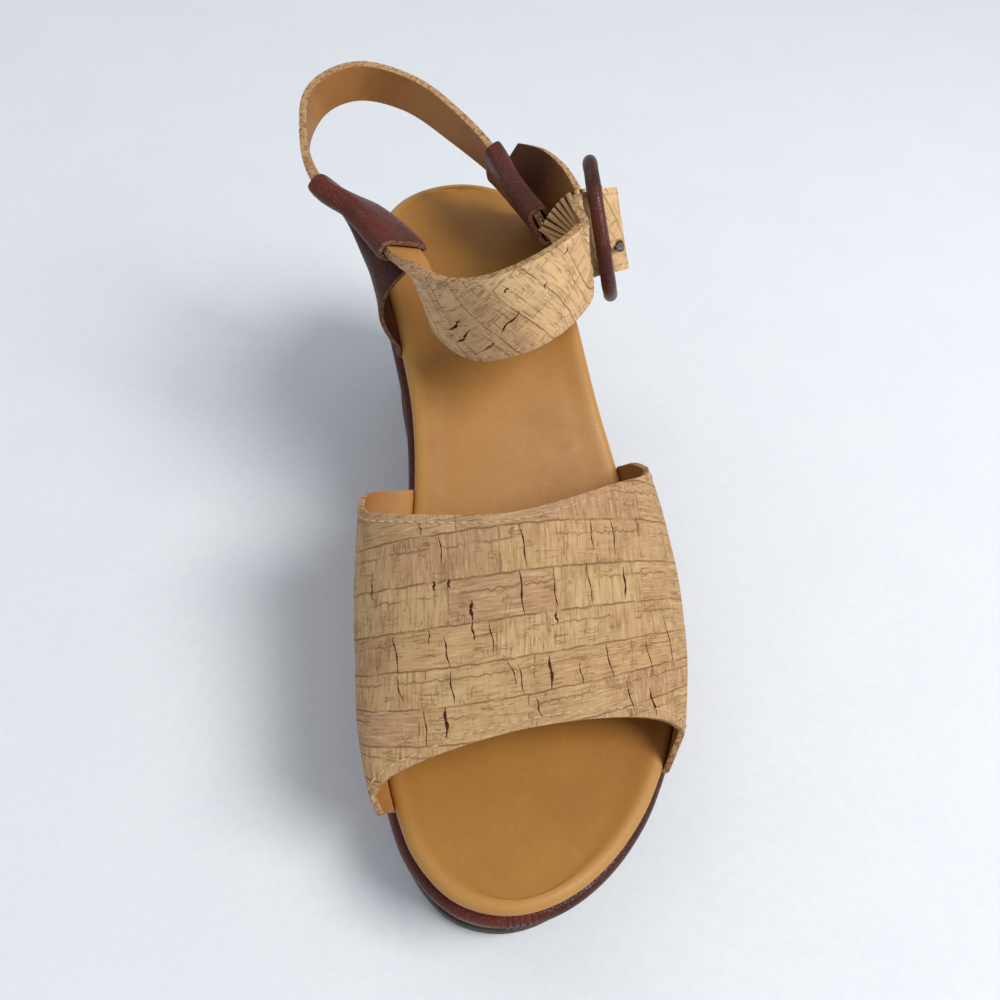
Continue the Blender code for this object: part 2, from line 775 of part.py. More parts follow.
def make_elastic(finish):
    """Ribbed elastic from the outer loop's mouth to the upper part of the centre bar."""
    centre, rearward, upright, outward = buckle_frame()
    mouth, across, width, heading = ribbon_frames(strap_keys(), STRAP_STEPS)[0]
    hold = centre + upright * ELASTIC_RISE
    eye = CENTRE_BAR / 2 + GAP + ELASTIC_THICKNESS / 2
    start = mouth - heading * 4 * GAP
    keys = [(start, across, ELASTIC_WIDTH), (start - heading * 0.005, across, ELASTIC_WIDTH)]
    bend = [hold + (rearward * math.cos(math.radians(turn)) + outward * math.sin(math.radians(turn))) * eye
            for turn in range(200, -61, -20)]
    lead = bend[0] - (bend[1] - bend[0]).normalized() * ELASTIC_LEAD
    middle = keys[-1][0].lerp(lead, 0.5)
    keys.append((middle, (across + upright).normalized(), ELASTIC_WIDTH))
    keys.append((lead, upright, ELASTIC_WIDTH))
    keys += [(spot, upright, ELASTIC_WIDTH) for spot in bend]
    frames = ribbon_frames(keys[:4], 3)[:-1] + ribbon_frames(keys[3:], 1)
    columns = [k / ELASTIC_COLUMNS - 0.5 for k in range(ELASTIC_COLUMNS + 1)]
    return sheet("elastic", ribbon_rows(frames, columns), ELASTIC_THICKNESS, finish, even=False)


def make_prong(finish):
    """A round metal prong hooked on the centre bar, through the billet, its tip on the front bar."""
    centre, rearward, upright, outward = buckle_frame()
    hold = prong_spot()
    eye = CENTRE_BAR / 2 + GAP + PRONG / 2
    spots = []
    for turn in range(-120, 121, 24):
        angle = math.radians(turn)
        spots.append(hold + rearward * eye * math.cos(angle) + outward * eye * math.sin(angle))
    reach = (BUCKLE_WIDTH - BAR_WIDTH) / 2
    over = BAR_THICKNESS / 2 + GAP + PRONG / 2
    spots.append(hold - rearward * reach * 0.45 + outward * (over + 0.0017))
    spots.append(hold - rearward * reach * 0.80 + outward * (over + 0.0008))
    spots.append(hold - rearward * (reach + 0.0012) + outward * over)
    line = bpy.data.curves.new("prong", "CURVE")
    line.dimensions = "3D"
    line.bevel_depth = PRONG / 2
    line.bevel_resolution = 2
    line.use_fill_caps = True
    path = line.splines.new("POLY")
    path.points.add(len(spots) - 1)
    for point, spot in zip(path.points, spots):
        point.co = (*spot, 1.0)
    line.materials.append(finish)
    item = bpy.data.objects.new("prong", line)
    bpy.context.scene.collection.objects.link(item)
    return item


def centre_on_origin():
    """Move every object so that the middle of the whole shoe's bottom is the origin."""
    bpy.context.view_layer.update()
    graph = bpy.context.evaluated_depsgraph_get()
    corners = []
    for item in bpy.context.scene.objects:
        if item.hide_render:
            continue
        mesh = item.evaluated_get(graph).to_mesh()
        corners += [item.matrix_world @ vert.co for vert in mesh.vertices]
    low = Vector(min(c[k] for c in corners) for k in range(3))
    high = Vector(max(c[k] for c in corners) for k in range(3))
    shift = Vector((-(low.x + high.x) / 2, -(low.y + high.y) / 2, -low.z))
    for item in bpy.context.scene.objects:
        item.location += shift
    return shift


def main():
    """Make every piece of the sandal."""
    clear_scene()
    brown = material("brown leather", (0.12, 0.028, 0.018), 0.35)
    tan = material("tan leather", (0.50, 0.24, 0.07), 0.5)
    cork = material("cork", (0.62, 0.42, 0.22), 0.75)
    rubber = material("rubber", (0.05, 0.04, 0.035), 0.8)
    ribbing = material("ribbing", (0.55, 0.42, 0.22), 0.7)
    brass = material("prong metal", (0.08, 0.05, 0.03), 0.4, 0.8)
    make_outsole(rubber)
    make_platform(brown)
    make_insole(tan)
    make_vamp(cork)
    make_quarter("quarter_inner", 1, INNER_FOOT, INNER_BELLY, INNER_REAR, INNER_MOUTH, brown)
    make_quarter("quarter_outer", -1, OUTER_FOOT, OUTER_BELLY, OUTER_REAR, OUTER_MOUTH, brown)
    make_ankle_strap(cork)
    make_elastic(ribbing)
    make_buckle(brown)
    make_prong(brass)
    centre_on_origin()


main()
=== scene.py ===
"""Looks of the left platform sandal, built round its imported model.

The fine pieces here follow the same last, strap line and buckle as the solids that they stand
for. Distances are in metres. A place on the shoe is given by how far it lies ahead of the
footbed's heel end, how far to the inner side of the foot, and its height above the floor.
"""
import logging
import math
from collections.abc import Callable, Sequence
from dataclasses import dataclass
from enum import Enum

import bmesh
import bpy
import numpy as np
from mathutils import Matrix, Vector


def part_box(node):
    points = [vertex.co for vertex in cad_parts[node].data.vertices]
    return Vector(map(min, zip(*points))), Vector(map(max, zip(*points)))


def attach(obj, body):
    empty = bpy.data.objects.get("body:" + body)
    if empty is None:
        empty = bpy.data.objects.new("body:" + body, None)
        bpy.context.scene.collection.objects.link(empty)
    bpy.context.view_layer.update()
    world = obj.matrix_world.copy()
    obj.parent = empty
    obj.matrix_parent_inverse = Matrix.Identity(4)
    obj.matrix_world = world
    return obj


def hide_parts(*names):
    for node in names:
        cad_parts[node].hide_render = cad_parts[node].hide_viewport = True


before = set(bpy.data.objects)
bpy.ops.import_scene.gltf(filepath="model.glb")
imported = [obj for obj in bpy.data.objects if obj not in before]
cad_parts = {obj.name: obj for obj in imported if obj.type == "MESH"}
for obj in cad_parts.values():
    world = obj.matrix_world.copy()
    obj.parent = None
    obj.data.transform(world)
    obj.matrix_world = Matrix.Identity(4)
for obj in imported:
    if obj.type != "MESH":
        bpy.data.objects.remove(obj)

LOG = logging.getLogger("sandal")
GAP = 0.0003
BODY = "root"
RIM_ANGLE = math.radians(42)
CUT_ANGLE = math.radians(60)

Row = tuple[float, ...]
Colour = tuple[float, float, float]


class Side(Enum):
    """Side of the foot, with the sign of its distance from the last's line."""

    INNER = 1
    OUTER = -1


class Face(Enum):
    """Layers of a strap or tab, with the place of each one's finish."""

    OUTER = 0
    LINING = 1
    EDGE = 2


# Small mathematics


def smoothstep(value: float) -> float:
    """Ease from 0 to 1."""
    value = min(max(value, 0.0), 1.0)
    return value * value * (3 - 2 * value)


def table_value(rows: Sequence[Row], column: int, position: float) -> float:
    """Read a table's column smoothly.

    Args:
        rows: Table whose first column rises from row to row.
        column: Column to read.
        position: Value of the first column to read at.

    Returns:
        The column's value on a smooth curve through the rows.
    """
    keys = [row[0] for row in rows]
    values = [row[column] for row in rows]
    span = max(0, min(len(rows) - 2, sum(1 for key in keys[1:-1] if key <= position)))

    def slope(k: int) -> float:
        """Rise of the curve at a row."""
        low, high = max(k - 1, 0), min(k + 1, len(rows) - 1)
        return (values[high] - values[low]) / (keys[high] - keys[low])

    length = keys[span + 1] - keys[span]
    t = min(max((position - keys[span]) / length, 0.0), 1.0)
    return ((2 * t ** 3 - 3 * t ** 2 + 1) * values[span]
            + (t ** 3 - 2 * t ** 2 + t) * length * slope(span)
            + (-2 * t ** 3 + 3 * t ** 2) * values[span + 1]
            + (t ** 3 - t ** 2) * length * slope(span + 1))


def curve_through(points: Sequence[Vector], steps: int) -> list[Vector]:
    """Smooth curve through points.

    Args:
        points: Points that the curve passes.
        steps: Steps in each span.

    Returns:
        Points of the curve, the given ones among them.
    """
    result = []
    count = len(points)
    for k in range(count - 1):
        before, a, b = points[max(k - 1, 0)], points[k], points[k + 1]
        after = points[min(k + 2, count - 1)]
        for step in range(steps):
            t = step / steps
            result.append(0.5 * ((2 * a) + (b - before) * t + (2 * before - 5 * a + 4 * b - after) * t ** 2
                                 + (3 * a - before - 3 * b + after) * t ** 3))
    result.append(points[-1].copy())
    return result


# Meshes


def new_piece(name: str, mesh: bpy.types.Mesh, finishes: Sequence[bpy.types.Material],
              nodes: Sequence[str] = ()) -> bpy.types.Object:
    """Link a mesh as a piece of the shoe.

    Args:
        name: Name of the piece.
        mesh: Its mesh, in the frame of the shoe.
        finishes: Materials, in the order of the faces' material numbers.
        nodes: Solids that the piece stands for.

    Returns:
        The linked object, riding on the shoe's body.
    """
    for finish in finishes:
        mesh.materials.append(finish)
    piece = bpy.data.objects.new(name, mesh)
    bpy.context.scene.collection.objects.link(piece)
    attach(piece, BODY)
    if nodes:
        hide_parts(*nodes)
    LOG.info("%s: %d faces", name, len(mesh.polygons))
    return piece


def raw_mesh(name: str, points: Sequence[Sequence[float]], faces: Sequence[Sequence[int]],
             flat: np.ndarray | None = None) -> bpy.types.Mesh:
    """Make a smooth-shaded mesh.

    Args:
        name: Name of the mesh.
        points: Its vertices.
        faces: Vertex numbers of each face.
        flat: Place of each vertex in the flat cut piece, kept as the attribute "flat".

    Returns:
        The mesh.
    """
    mesh = bpy.data.meshes.new(name)
    mesh.from_pydata([tuple(point) for point in points], [], [tuple(face) for face in faces])
    if flat is not None:
        layer = mesh.attributes.new("flat", "FLOAT_VECTOR", "POINT")
        layer.data.foreach_set("vector", np.asarray(flat, np.float32).ravel())
    mesh.shade_smooth()
    mesh.update()
    return mesh


def lattice(rows: int, columns: int, start: int = 0, wrap: bool = False) -> list[tuple[int, int, int, int]]:
    """Faces of a grid of vertices.

    Args:
        rows: Rows of the grid.
        columns: Vertices in a row.
        start: Number of the first vertex.
        wrap: Whether each row is a closed loop.

    Returns:
        Four vertex numbers for each face.
    """
    faces = []
    for i in range(rows - 1):
        for j in range(columns if wrap else columns - 1):
            a = start + i * columns + j
            b = start + i * columns + (j + 1) % columns
            faces.append((a, b, b + columns, a + columns))
    return faces


def grid_normals(grid: np.ndarray) -> np.ndarray:
    """Unit normals of a grid of points, right-handed from rows to columns.

    Args:
        grid: Points of the surface.

    Returns:
        Normal at each point.
    """
    down = np.gradient(grid, axis=0)
    over = np.gradient(grid, axis=1)
    normal = np.cross(down, over)
    length = np.linalg.norm(normal, axis=2, keepdims=True)
    return normal / np.maximum(length, 1e-12)


def flat_lengths(grid: np.ndarray) -> np.ndarray:
    """Place of each grid point in the flat cut piece.

    Args:
        grid: Points of a strap, rows along it and columns across it.

    Returns:
        For each point the distance across from the middle column, the distance along, and zero.
    """
    along = np.zeros(grid.shape[:2])
    steps = np.linalg.norm(np.diff(grid, axis=0), axis=2)
    middle = grid.shape[1] // 2
    along[1:] = np.cumsum(steps[:, middle:middle + 1], axis=0)
    over = np.zeros(grid.shape[:2])
    over[:, 1:] = np.cumsum(np.linalg.norm(np.diff(grid, axis=1), axis=2), axis=1)
    over -= over[:, middle:middle + 1]
    return np.stack([over, along, np.zeros_like(over)], axis=-1)


def layered_sheet(name: str, grid: np.ndarray, wall: float, finishes: Sequence[bpy.types.Material],
                  outward: int = 1, flat: np.ndarray | None = None, edge: float = 0.00035,
                  nodes: Sequence[str] = ()) -> bpy.types.Object:
    """A flexible piece with an outer face, a lining and cut edges.

    Args:
        name: Name of the piece.
        grid: Points of its middle surface.
        wall: Its thickness.
        finishes: Materials of the outer face, the lining and the cut edges.
        outward: 1 where the grid's normals point outward, and -1 where they point inward.
        flat: Flat place of each point, worked out from the grid if it isn't given.
        edge: Rounding of the cut edges.
        nodes: Solids that the piece stands for.

    Returns:
        The piece.
    """
    rows, columns = grid.shape[:2]
    faces = lattice(rows, columns)
    if outward > 0:
        faces = [face[::-1] for face in faces]
    if flat is None:
        flat = flat_lengths(grid)
    mesh = raw_mesh(name, grid.reshape(-1, 3), faces, flat=flat.reshape(-1, 3))
    piece = new_piece(name, mesh, finishes, nodes)
    thick = piece.modifiers.new("wall", "SOLIDIFY")
    thick.thickness = wall
    thick.offset = 0.0
    thick.material_offset = Face.LINING.value
    thick.material_offset_rim = Face.EDGE.value
    round_off = piece.modifiers.new("edge", "BEVEL")
    round_off.width = edge
    round_off.segments = 2
    round_off.limit_method = "ANGLE"
    round_off.angle_limit = CUT_ANGLE
    return piece


def around(first: Vector, second: Vector, angle: float) -> Vector:
    """Direction at an angle from the first one towards the second."""
    return first * math.cos(angle) + second * math.sin(angle)


def tube_mesh(name: str, spine: Sequence[Vector], radii: Sequence[float], sides: int) -> bpy.types.Mesh:
    """A round tube along a line.

    Args:
        name: Name of the mesh.
        spine: Points of its middle line.
        radii: Radius at each point.
        sides: Sides of the tube.

    Returns:
        The mesh, with closed ends.
    """
    count = len(spine)
    points = []
    guide = Vector((0.31, 0.17, 0.93))
    for k, spot in enumerate(spine):
        heading = (spine[min(k + 1, count - 1)] - spine[max(k - 1, 0)]).normalized()
        first = heading.cross(guide).normalized()
        second = heading.cross(first)
        for j in range(sides):
            angle = 2 * math.pi * j / sides
            points.append(spot + around(first, second, angle) * radii[k])
    faces = lattice(count, sides, wrap=True)
    faces.append(tuple(range(sides))[::-1])
    faces.append(tuple((count - 1) * sides + j for j in range(sides)))
    return raw_mesh(name, points, faces)


def upright_faces(mesh: bpy.types.Mesh) -> None:
    """Turn a closed mesh's faces outward.

    Args:
        mesh: The mesh.
    """
    shape = bmesh.new()
    shape.from_mesh(mesh)
    bmesh.ops.recalc_face_normals(shape, faces=shape.faces)
    shape.to_mesh(mesh)
    shape.free()


def settle(piece: bpy.types.Object) -> None:
    """Keep a piece's shape with its modifiers and take them off.

    Args:
        piece: The piece.
    """
    graph = bpy.context.evaluated_depsgraph_get()
    mesh = bpy.data.meshes.new_from_object(piece.evaluated_get(graph))
    piece.modifiers.clear()
    piece.data = mesh


# Finishes


class Graph:
    """Node tree of one finish, with short calls for its parts."""

    def __init__(self, name: str) -> None:
        """Start a material with its shader.

        Args:
            name: Name of the material.
        """
        self.material = bpy.data.materials.new(name)
        self.material.use_nodes = True
        self.tree = self.material.node_tree
        self.shader = self.tree.nodes["Principled BSDF"]

    def put(self, socket: bpy.types.NodeSocket, value: object) -> None:
        """Link a socket to another one, or set its value.

        Args:
            socket: Socket to fill.
            value: Another socket, a colour or a number.
        """
        if isinstance(value, bpy.types.NodeSocket):
            self.tree.links.new(value, socket)
        elif isinstance(value, tuple) and len(value) == 3 and socket.type == "RGBA":
            socket.default_value = (*value, 1.0)
        else:
            socket.default_value = value

    def node(self, kind: str, **options: object) -> bpy.types.Node:
        """Add a node.

        Args:
            kind: Its type.
            **options: Values of the node's own settings.

        Returns:
            The node.
        """
        made = self.tree.nodes.new(kind)
        for key, value in options.items():
            setattr(made, key, value)
        return made

    def place(self) -> bpy.types.NodeSocket:
        """Places in the frame of the shoe."""
        return self.node("ShaderNodeTexCoord").outputs["Object"]

    def flat(self) -> bpy.types.NodeSocket:
        """Places in the flat cut piece."""
        return self.node("ShaderNodeAttribute", attribute_name="flat").outputs["Vector"]

    def parts(self, vector: object) -> tuple[bpy.types.NodeSocket, ...]:
        """Coordinates of a vector.

        Args:
            vector: The vector.

        Returns:
            Its three coordinates.
        """
        split = self.node("ShaderNodeSeparateXYZ")
        self.put(split.inputs[0], vector)
        return tuple(split.outputs)

    def joined(self, x: object, y: object, z: object = 0.0) -> bpy.types.NodeSocket:
        """A vector from its coordinates.

        Args:
            x: First coordinate.
            y: Second one.
            z: Third one.

        Returns:
            The vector.
        """
        made = self.node("ShaderNodeCombineXYZ")
        for socket, value in zip(made.inputs, (x, y, z)):
            self.put(socket, value)
        return made.outputs[0]

    def math(self, kind: str, a: object, b: object = 0.0) -> bpy.types.NodeSocket:
        """Work with one or two numbers.

        Args:
            kind: Working, in Blender's word.
            a: First number.
            b: Second number.

        Returns:
            The result.
        """
        made = self.node("ShaderNodeMath", operation=kind)
        for socket, value in zip(made.inputs, (a, b)):
            self.put(socket, value)
        return made.outputs[0]

    def plus(self, a: object, b: object) -> bpy.types.NodeSocket:
        """Sum of two numbers."""
        return self.math("ADD", a, b)

    def less(self, a: object, b: object) -> bpy.types.NodeSocket:
        """Difference of two numbers."""
        return self.math("SUBTRACT", a, b)

    def times(self, a: object, b: object) -> bpy.types.NodeSocket:
        """Product of two numbers."""
        return self.math("MULTIPLY", a, b)

    def most(self, a: object, b: object) -> bpy.types.NodeSocket:
        """Larger of two numbers."""
        return self.math("MAXIMUM", a, b)

    def edge_distance(self, value: object) -> bpy.types.NodeSocket:
        """Distance to the nearest whole number."""
        part = self.math("FRACT", value)
        return self.math("MINIMUM", part, self.less(1.0, part))

    def ease(self, value: object, low: float, high: float, to_low: float = 0.0,
             to_high: float = 1.0) -> bpy.types.NodeSocket:
        """A value carried softly from one range to another.

        Args:
            value: The value.
            low: Value that gives to_low.
            high: Value that gives to_high.
            to_low: One end of the result.
            to_high: Its other end.

        Returns:
            The result.
        """
        made = self.node("ShaderNodeMapRange", interpolation_type="SMOOTHSTEP")
        for socket, number in zip(made.inputs, (value, low, high, to_low, to_high)):
            self.put(socket, number)
        return made.outputs[0]

    def noise(self, vector: object, scale: float, detail: float = 3.0, rough: float = 0.5,
              twist: float = 0.0) -> bpy.types.NodeSocket:
        """Cloudy noise.

        Args:
            vector: Places.
            scale: Size of the clouds, in clouds per metre.
            detail: Finer layers.
            rough: Strength of the finer layers.
            twist: How far the clouds are bent.

        Returns:
            The noise, from 0 to 1.
        """
        made = self.node("ShaderNodeTexNoise")
        self.put(made.inputs["Vector"], vector)
        made.inputs["Scale"].default_value = scale
        made.inputs["Detail"].default_value = detail
        made.inputs["Roughness"].default_value = rough
        made.inputs["Distortion"].default_value = twist
        return made.outputs["Fac"]

    def cells(self, vector: object, scale: float, feature: str = "F1") -> bpy.types.Node:
        """Cells with their distance and colour.

        Args:
            vector: Places.
            scale: Cells in a metre.
            feature: What the distance is measured to.

        Returns:
            The node.
        """
        made = self.node("ShaderNodeTexVoronoi", feature=feature)
        self.put(made.inputs["Vector"], vector)
        made.inputs["Scale"].default_value = scale
        return made

    def chance(self, vector: object) -> bpy.types.Node:
        """Random value and colour of each whole-numbered place.

        Args:
            vector: Places.

        Returns:
            The node.
        """
        made = self.node("ShaderNodeTexWhiteNoise", noise_dimensions="3D")
        self.put(made.inputs["Vector"], vector)
        return made

    def mix(self, share: object, a: object, b: object) -> bpy.types.NodeSocket:
        """One colour laid over another.

        Args:
            share: Share of the second colour.
            a: First colour.
            b: Second colour.

        Returns:
            The colour.
        """
        made = self.node("ShaderNodeMix", data_type="RGBA")
        self.put(made.inputs[0], share)
        self.put(made.inputs[6], a)
        self.put(made.inputs[7], b)
        return made.outputs[2]

    def choose(self, share: object, tints: Sequence[Colour]) -> bpy.types.NodeSocket:
        """One of several colours, by a value from 0 to 1.

        Args:
            share: The value.
            tints: The colours.

        Returns:
            The chosen colour.
        """
        made = self.node("ShaderNodeValToRGB")
        self.put(made.inputs[0], share)
        band = made.color_ramp
        band.interpolation = "CONSTANT"
        while len(band.elements) < len(tints):
            band.elements.new(0.5)
        for k, (stop, tint) in enumerate(zip(band.elements, tints)):
            stop.position = k / len(tints)
            stop.color = (*tint, 1.0)
        return made.outputs[0]

    def bump(self, height: object, depth: float) -> bpy.types.NodeSocket:
        """Relief.

        Args:
            height: Height, from 0 to about 1.
            depth: Depth of a height of 1, in metres.

        Returns:
            The bent normal.
        """
        made = self.node("ShaderNodeBump")
        made.inputs["Strength"].default_value = 1.0
        made.inputs["Distance"].default_value = depth
        self.put(made.inputs["Height"], height)
        return made.outputs[0]

    def finish(self, colour: object, roughness: object, normal: object,
               gloss: float = 0.5) -> bpy.types.Material:
        """Join the shader's main sockets.

        Args:
            colour: Base colour.
            roughness: Roughness.
            normal: Relief.
            gloss: Specular level.

        Returns:
            The material.
        """
        self.put(self.shader.inputs["Base Color"], colour)
        self.put(self.shader.inputs["Roughness"], roughness)
        self.put(self.shader.inputs["Normal"], normal)
        self.shader.inputs["Specular IOR Level"].default_value = gloss
        return self.material


@dataclass(frozen=True)
class Cork:
    """Cork facing: bands of thin bark slices with wavy seams, fine grain and dark flecks."""

    name: str
    tints: tuple[Colour, ...]
    band: float = 0.0115
    slice_length: float = 0.030
    turn: float = 0.0
    brown: Colour = (0.310, 0.165, 0.072)
    pale: Colour = (0.660, 0.450, 0.245)
    seam: Colour = (0.150, 0.062, 0.026)
    crack: Colour = (0.050, 0.020, 0.012)
    flecks: float = 0.03
    seam_sway: float = 0.0017
    slice_sway: float = 0.0012
    inner_seam: float = 0.70
    inner_sway: float = 0.26
    relief: float = 0.00022
    gloss: float = 0.22

    def build(self) -> bpy.types.Material:
        """Make the cork.

        Returns:
            The material.
        """
        g = Graph(self.name)
        turned = g.node("ShaderNodeMapping")
        g.put(turned.inputs["Vector"], g.flat())
        turned.inputs["Rotation"].default_value = (0.0, 0.0, self.turn)
        x, y, _ = g.parts(turned.outputs[0])
        sway = g.noise(g.joined(x, g.times(y, 0.3)), 210.0, 4.0, 0.62)
        level = g.math("DIVIDE", g.plus(y, g.times(g.less(sway, 0.5), self.seam_sway)), self.band)
        row = g.math("FLOOR", level)
        shift = g.chance(g.joined(row, 3.0)).outputs["Value"]
        drift = g.times(g.less(g.noise(g.joined(x, y), 120.0), 0.5), self.slice_sway)
        reach = g.plus(g.math("DIVIDE", g.plus(x, drift), self.slice_length), g.times(shift, 5.0))
        pick = g.chance(g.joined(row, g.math("FLOOR", reach), 7.0))
        tone = g.choose(pick.outputs["Value"], self.tints)
        cloud = g.noise(g.joined(x, y, 2.0), 95.0, 4.0, 0.6)
        colour = g.mix(g.times(g.ease(cloud, 0.46, 0.68), 0.45), tone, self.brown)

        # grain of a slice, upright in some and lying in others
        upright = g.noise(g.joined(g.times(x, 26.0), g.times(y, 2.6), pick.outputs["Value"]), 60.0, 4.0, 0.65)
        lying = g.noise(g.joined(g.times(x, 2.4), g.times(y, 20.0), row), 60.0, 4.0, 0.6, 0.4)
        choice = g.ease(pick.outputs["Color"], 0.42, 0.58, 0.12, 0.88)
        grain = g.plus(g.times(upright, choice), g.times(lying, g.less(1.0, choice)))
        colour = g.mix(g.times(g.ease(grain, 0.49, 0.66), 0.80), colour, self.brown)
        colour = g.mix(g.times(g.ease(grain, 0.48, 0.34), 0.60), colour, self.pale)

        line = self.seams(g, x, y, level, reach)
        # fine cracks across and along the bands
        across = self.cracks(g, g.joined(x, g.times(y, 0.13), pick.outputs["Value"]), 620.0,
                             g.joined(x, y, 8.0))
        along = self.cracks(g, g.joined(g.times(x, 0.12), y, row), 700.0, g.joined(x, y, 12.0))
        line = g.most(line, g.times(g.most(across, along), 0.5))
        colour = g.mix(line, colour, self.seam)

        # short dark slits across the bands
        slit = g.cells(g.joined(g.plus(x, drift), g.times(y, 0.22)), 230.0)
        chosen = g.ease(slit.outputs["Color"], 1.0 - self.flecks, 1.02 - self.flecks)
        ragged = g.plus(slit.outputs["Distance"], g.times(g.noise(g.joined(x, y, 4.0), 1100.0, 3.0), 0.26))
        slits = g.times(g.ease(ragged, 0.20, 0.28, 1.0, 0.0), chosen)
        colour = g.mix(slits, colour, self.crack)
        height = g.less(g.times(grain, 0.45), g.most(line, slits))
        return g.finish(colour, g.ease(grain, 0.3, 0.7, 0.66, 0.82), g.bump(height, self.relief), self.gloss)

    def seams(self, g: Graph, x: bpy.types.NodeSocket, y: bpy.types.NodeSocket, level: bpy.types.NodeSocket,
              reach: bpy.types.NodeSocket) -> bpy.types.NodeSocket:
        """Wavy seam at each band's edge, a fainter one inside the band, and the ends of the slices.

        Args:
            g: Node tree of the finish.
            x: Place along the bands.
            y: Place across them.
            level: Number of the band, with its share.
            reach: Number of the slice, with its share.

        Returns:
            Strength of the lines.
        """
        seam = g.times(g.ease(g.edge_distance(level), 0.006, 0.036, 1.0, 0.0),
                       g.ease(g.noise(g.joined(x, y, 6.0), 150.0), 0.35, 0.55, 0.35, 1.0))
        row = g.math("FLOOR", level)
        zigzag = g.times(g.less(g.noise(g.joined(x, row), 520.0, 3.0), 0.5), self.inner_sway)
        inner = g.math("ABSOLUTE", g.plus(g.less(g.math("FRACT", level), self.inner_seam), zigzag))
        inner = g.times(g.ease(inner, 0.006, 0.034, 1.0, 0.0),
                        g.ease(g.noise(g.joined(x, y, 5.0), 75.0), 0.40, 0.54))
        joint = g.times(g.ease(g.edge_distance(reach), 0.002, 0.010, 1.0, 0.0),
                        g.ease(g.noise(g.joined(x, y, 9.0), 260.0, 3.0), 0.44, 0.56))
        line = g.most(g.times(seam, 0.70), g.times(inner, 0.55))
        return g.most(line, g.times(joint, 0.6))

    def cracks(self, g: Graph, place: bpy.types.NodeSocket, scale: float,
               where: bpy.types.NodeSocket) -> bpy.types.NodeSocket:
        """Thin broken lines where a stretched noise passes its middle.

        Args:
            g: Node tree of the finish.
            place: Stretched places that the lines follow.
            scale: Scale of the noise.
            where: Places that choose where the lines show.

        Returns:
            Strength of the lines.
        """
        away = g.math("ABSOLUTE", g.less(g.noise(place, scale, 2.0, 0.5), 0.5))
        shown = g.ease(g.noise(where, 170.0, 3.0), 0.52, 0.62)
        return g.times(g.ease(away, 0.003, 0.020, 1.0, 0.0), shown)


@dataclass(frozen=True)
class Leather:
    """Leather with a pebbled or smooth grain."""

    name: str
    base: Colour
    dark: Colour
    light: Colour
    rough: tuple[float, float] = (0.32, 0.48)
    pebble: float = 0.0011
    depth: float = 0.00018
    gloss: float = 0.28
    coat: float = 0.03
    coat_rough: float = 0.22

    def build(self) -> bpy.types.Material:
        """Make the leather.

        Returns:
            The material.
        """
        g = Graph(self.name)
        spot = g.place()
        bent = g.node("ShaderNodeVectorMath", operation="ADD")
        g.put(bent.inputs[0], spot)
        wobble = g.node("ShaderNodeTexNoise")
        g.put(wobble.inputs["Vector"], spot)
        wobble.inputs["Scale"].default_value = 500.0
        small = g.node("ShaderNodeVectorMath", operation="SCALE")
        g.put(small.inputs[0], wobble.outputs["Color"])
        small.inputs["Scale"].default_value = self.pebble * 0.7
        g.put(bent.inputs[1], small.outputs[0])
        pebbles = g.cells(bent.outputs[0], 1.0 / self.pebble, "DISTANCE_TO_EDGE").outputs["Distance"]
        valley = g.ease(pebbles, 0.0, 0.16)
        cloud = g.noise(spot, 28.0, 4.0, 0.55)
        streak = g.noise(spot, 240.0, 4.0, 0.65)
        colour = g.mix(g.ease(cloud, 0.35, 0.68), self.base, self.dark)
        colour = g.mix(g.times(g.ease(streak, 0.55, 0.78), 0.55), colour, self.light)
        colour = g.mix(g.times(g.less(1.0, valley), 0.35), colour, self.dark)
        height = g.plus(g.times(valley, 0.8), g.times(streak, 0.6))
        g.shader.inputs["Coat Weight"].default_value = self.coat
        g.shader.inputs["Coat Roughness"].default_value = self.coat_rough
        rough = g.ease(streak, 0.3, 0.75, *self.rough)
        return g.finish(colour, rough, g.bump(height, self.depth), self.gloss)


@dataclass(frozen=True)
class FootbedLeather:
    """Honey leather of the footbed, worn a little, with pores and a painted highlight along its rolled edge.
    """

    name: str = "honey_footbed"
    base: Colour = (0.430, 0.196, 0.040)
    deep: Colour = (0.375, 0.160, 0.030)
    # lighter tone of the mottle, and also the colour of the painted highlight along the rolled edge
    edge: Colour = (0.560, 0.300, 0.085)
    dirt: Colour = (0.100, 0.040, 0.012)
    relief: float = 0.00007
    gloss: float = 0.32

    def build(self) -> bpy.types.Material:
        """Make the footbed's leather.

        Returns:
            The material.
        """
        g = Graph(self.name)
        spot = g.place()
        cloud = g.noise(spot, 24.0, 5.0, 0.6)
        mottle = g.noise(spot, 330.0, 4.0, 0.6)
        colour = g.mix(g.ease(cloud, 0.36, 0.66), self.base, self.deep)
        colour = g.mix(g.times(g.ease(mottle, 0.52, 0.72), 0.14), colour, self.edge)
        rim, _, _ = g.parts(g.flat())
        # painted highlight: lighter within a few millimetres of the rolled edge
        colour = g.mix(g.ease(rim, 0.0012, 0.0060, 0.60, 0.0), colour, self.edge)
        pores = g.cells(spot, 1250.0).outputs["Distance"]
        pit = g.ease(pores, 0.05, 0.30)
        colour = g.mix(g.times(g.less(1.0, pit), 0.22), colour, self.deep)
        specks = g.cells(spot, 210.0)
        dirt = g.times(g.ease(specks.outputs["Distance"], 0.05, 0.11, 1.0, 0.0),
                      g.ease(specks.outputs["Color"], 0.94, 0.96))
        colour = g.mix(g.times(dirt, 0.4), colour, self.dirt)
        height = g.plus(g.times(pit, 0.6), g.times(mottle, 0.5))
        return g.finish(colour, g.ease(cloud, 0.3, 0.7, 0.38, 0.52), g.bump(height, self.relief), self.gloss)


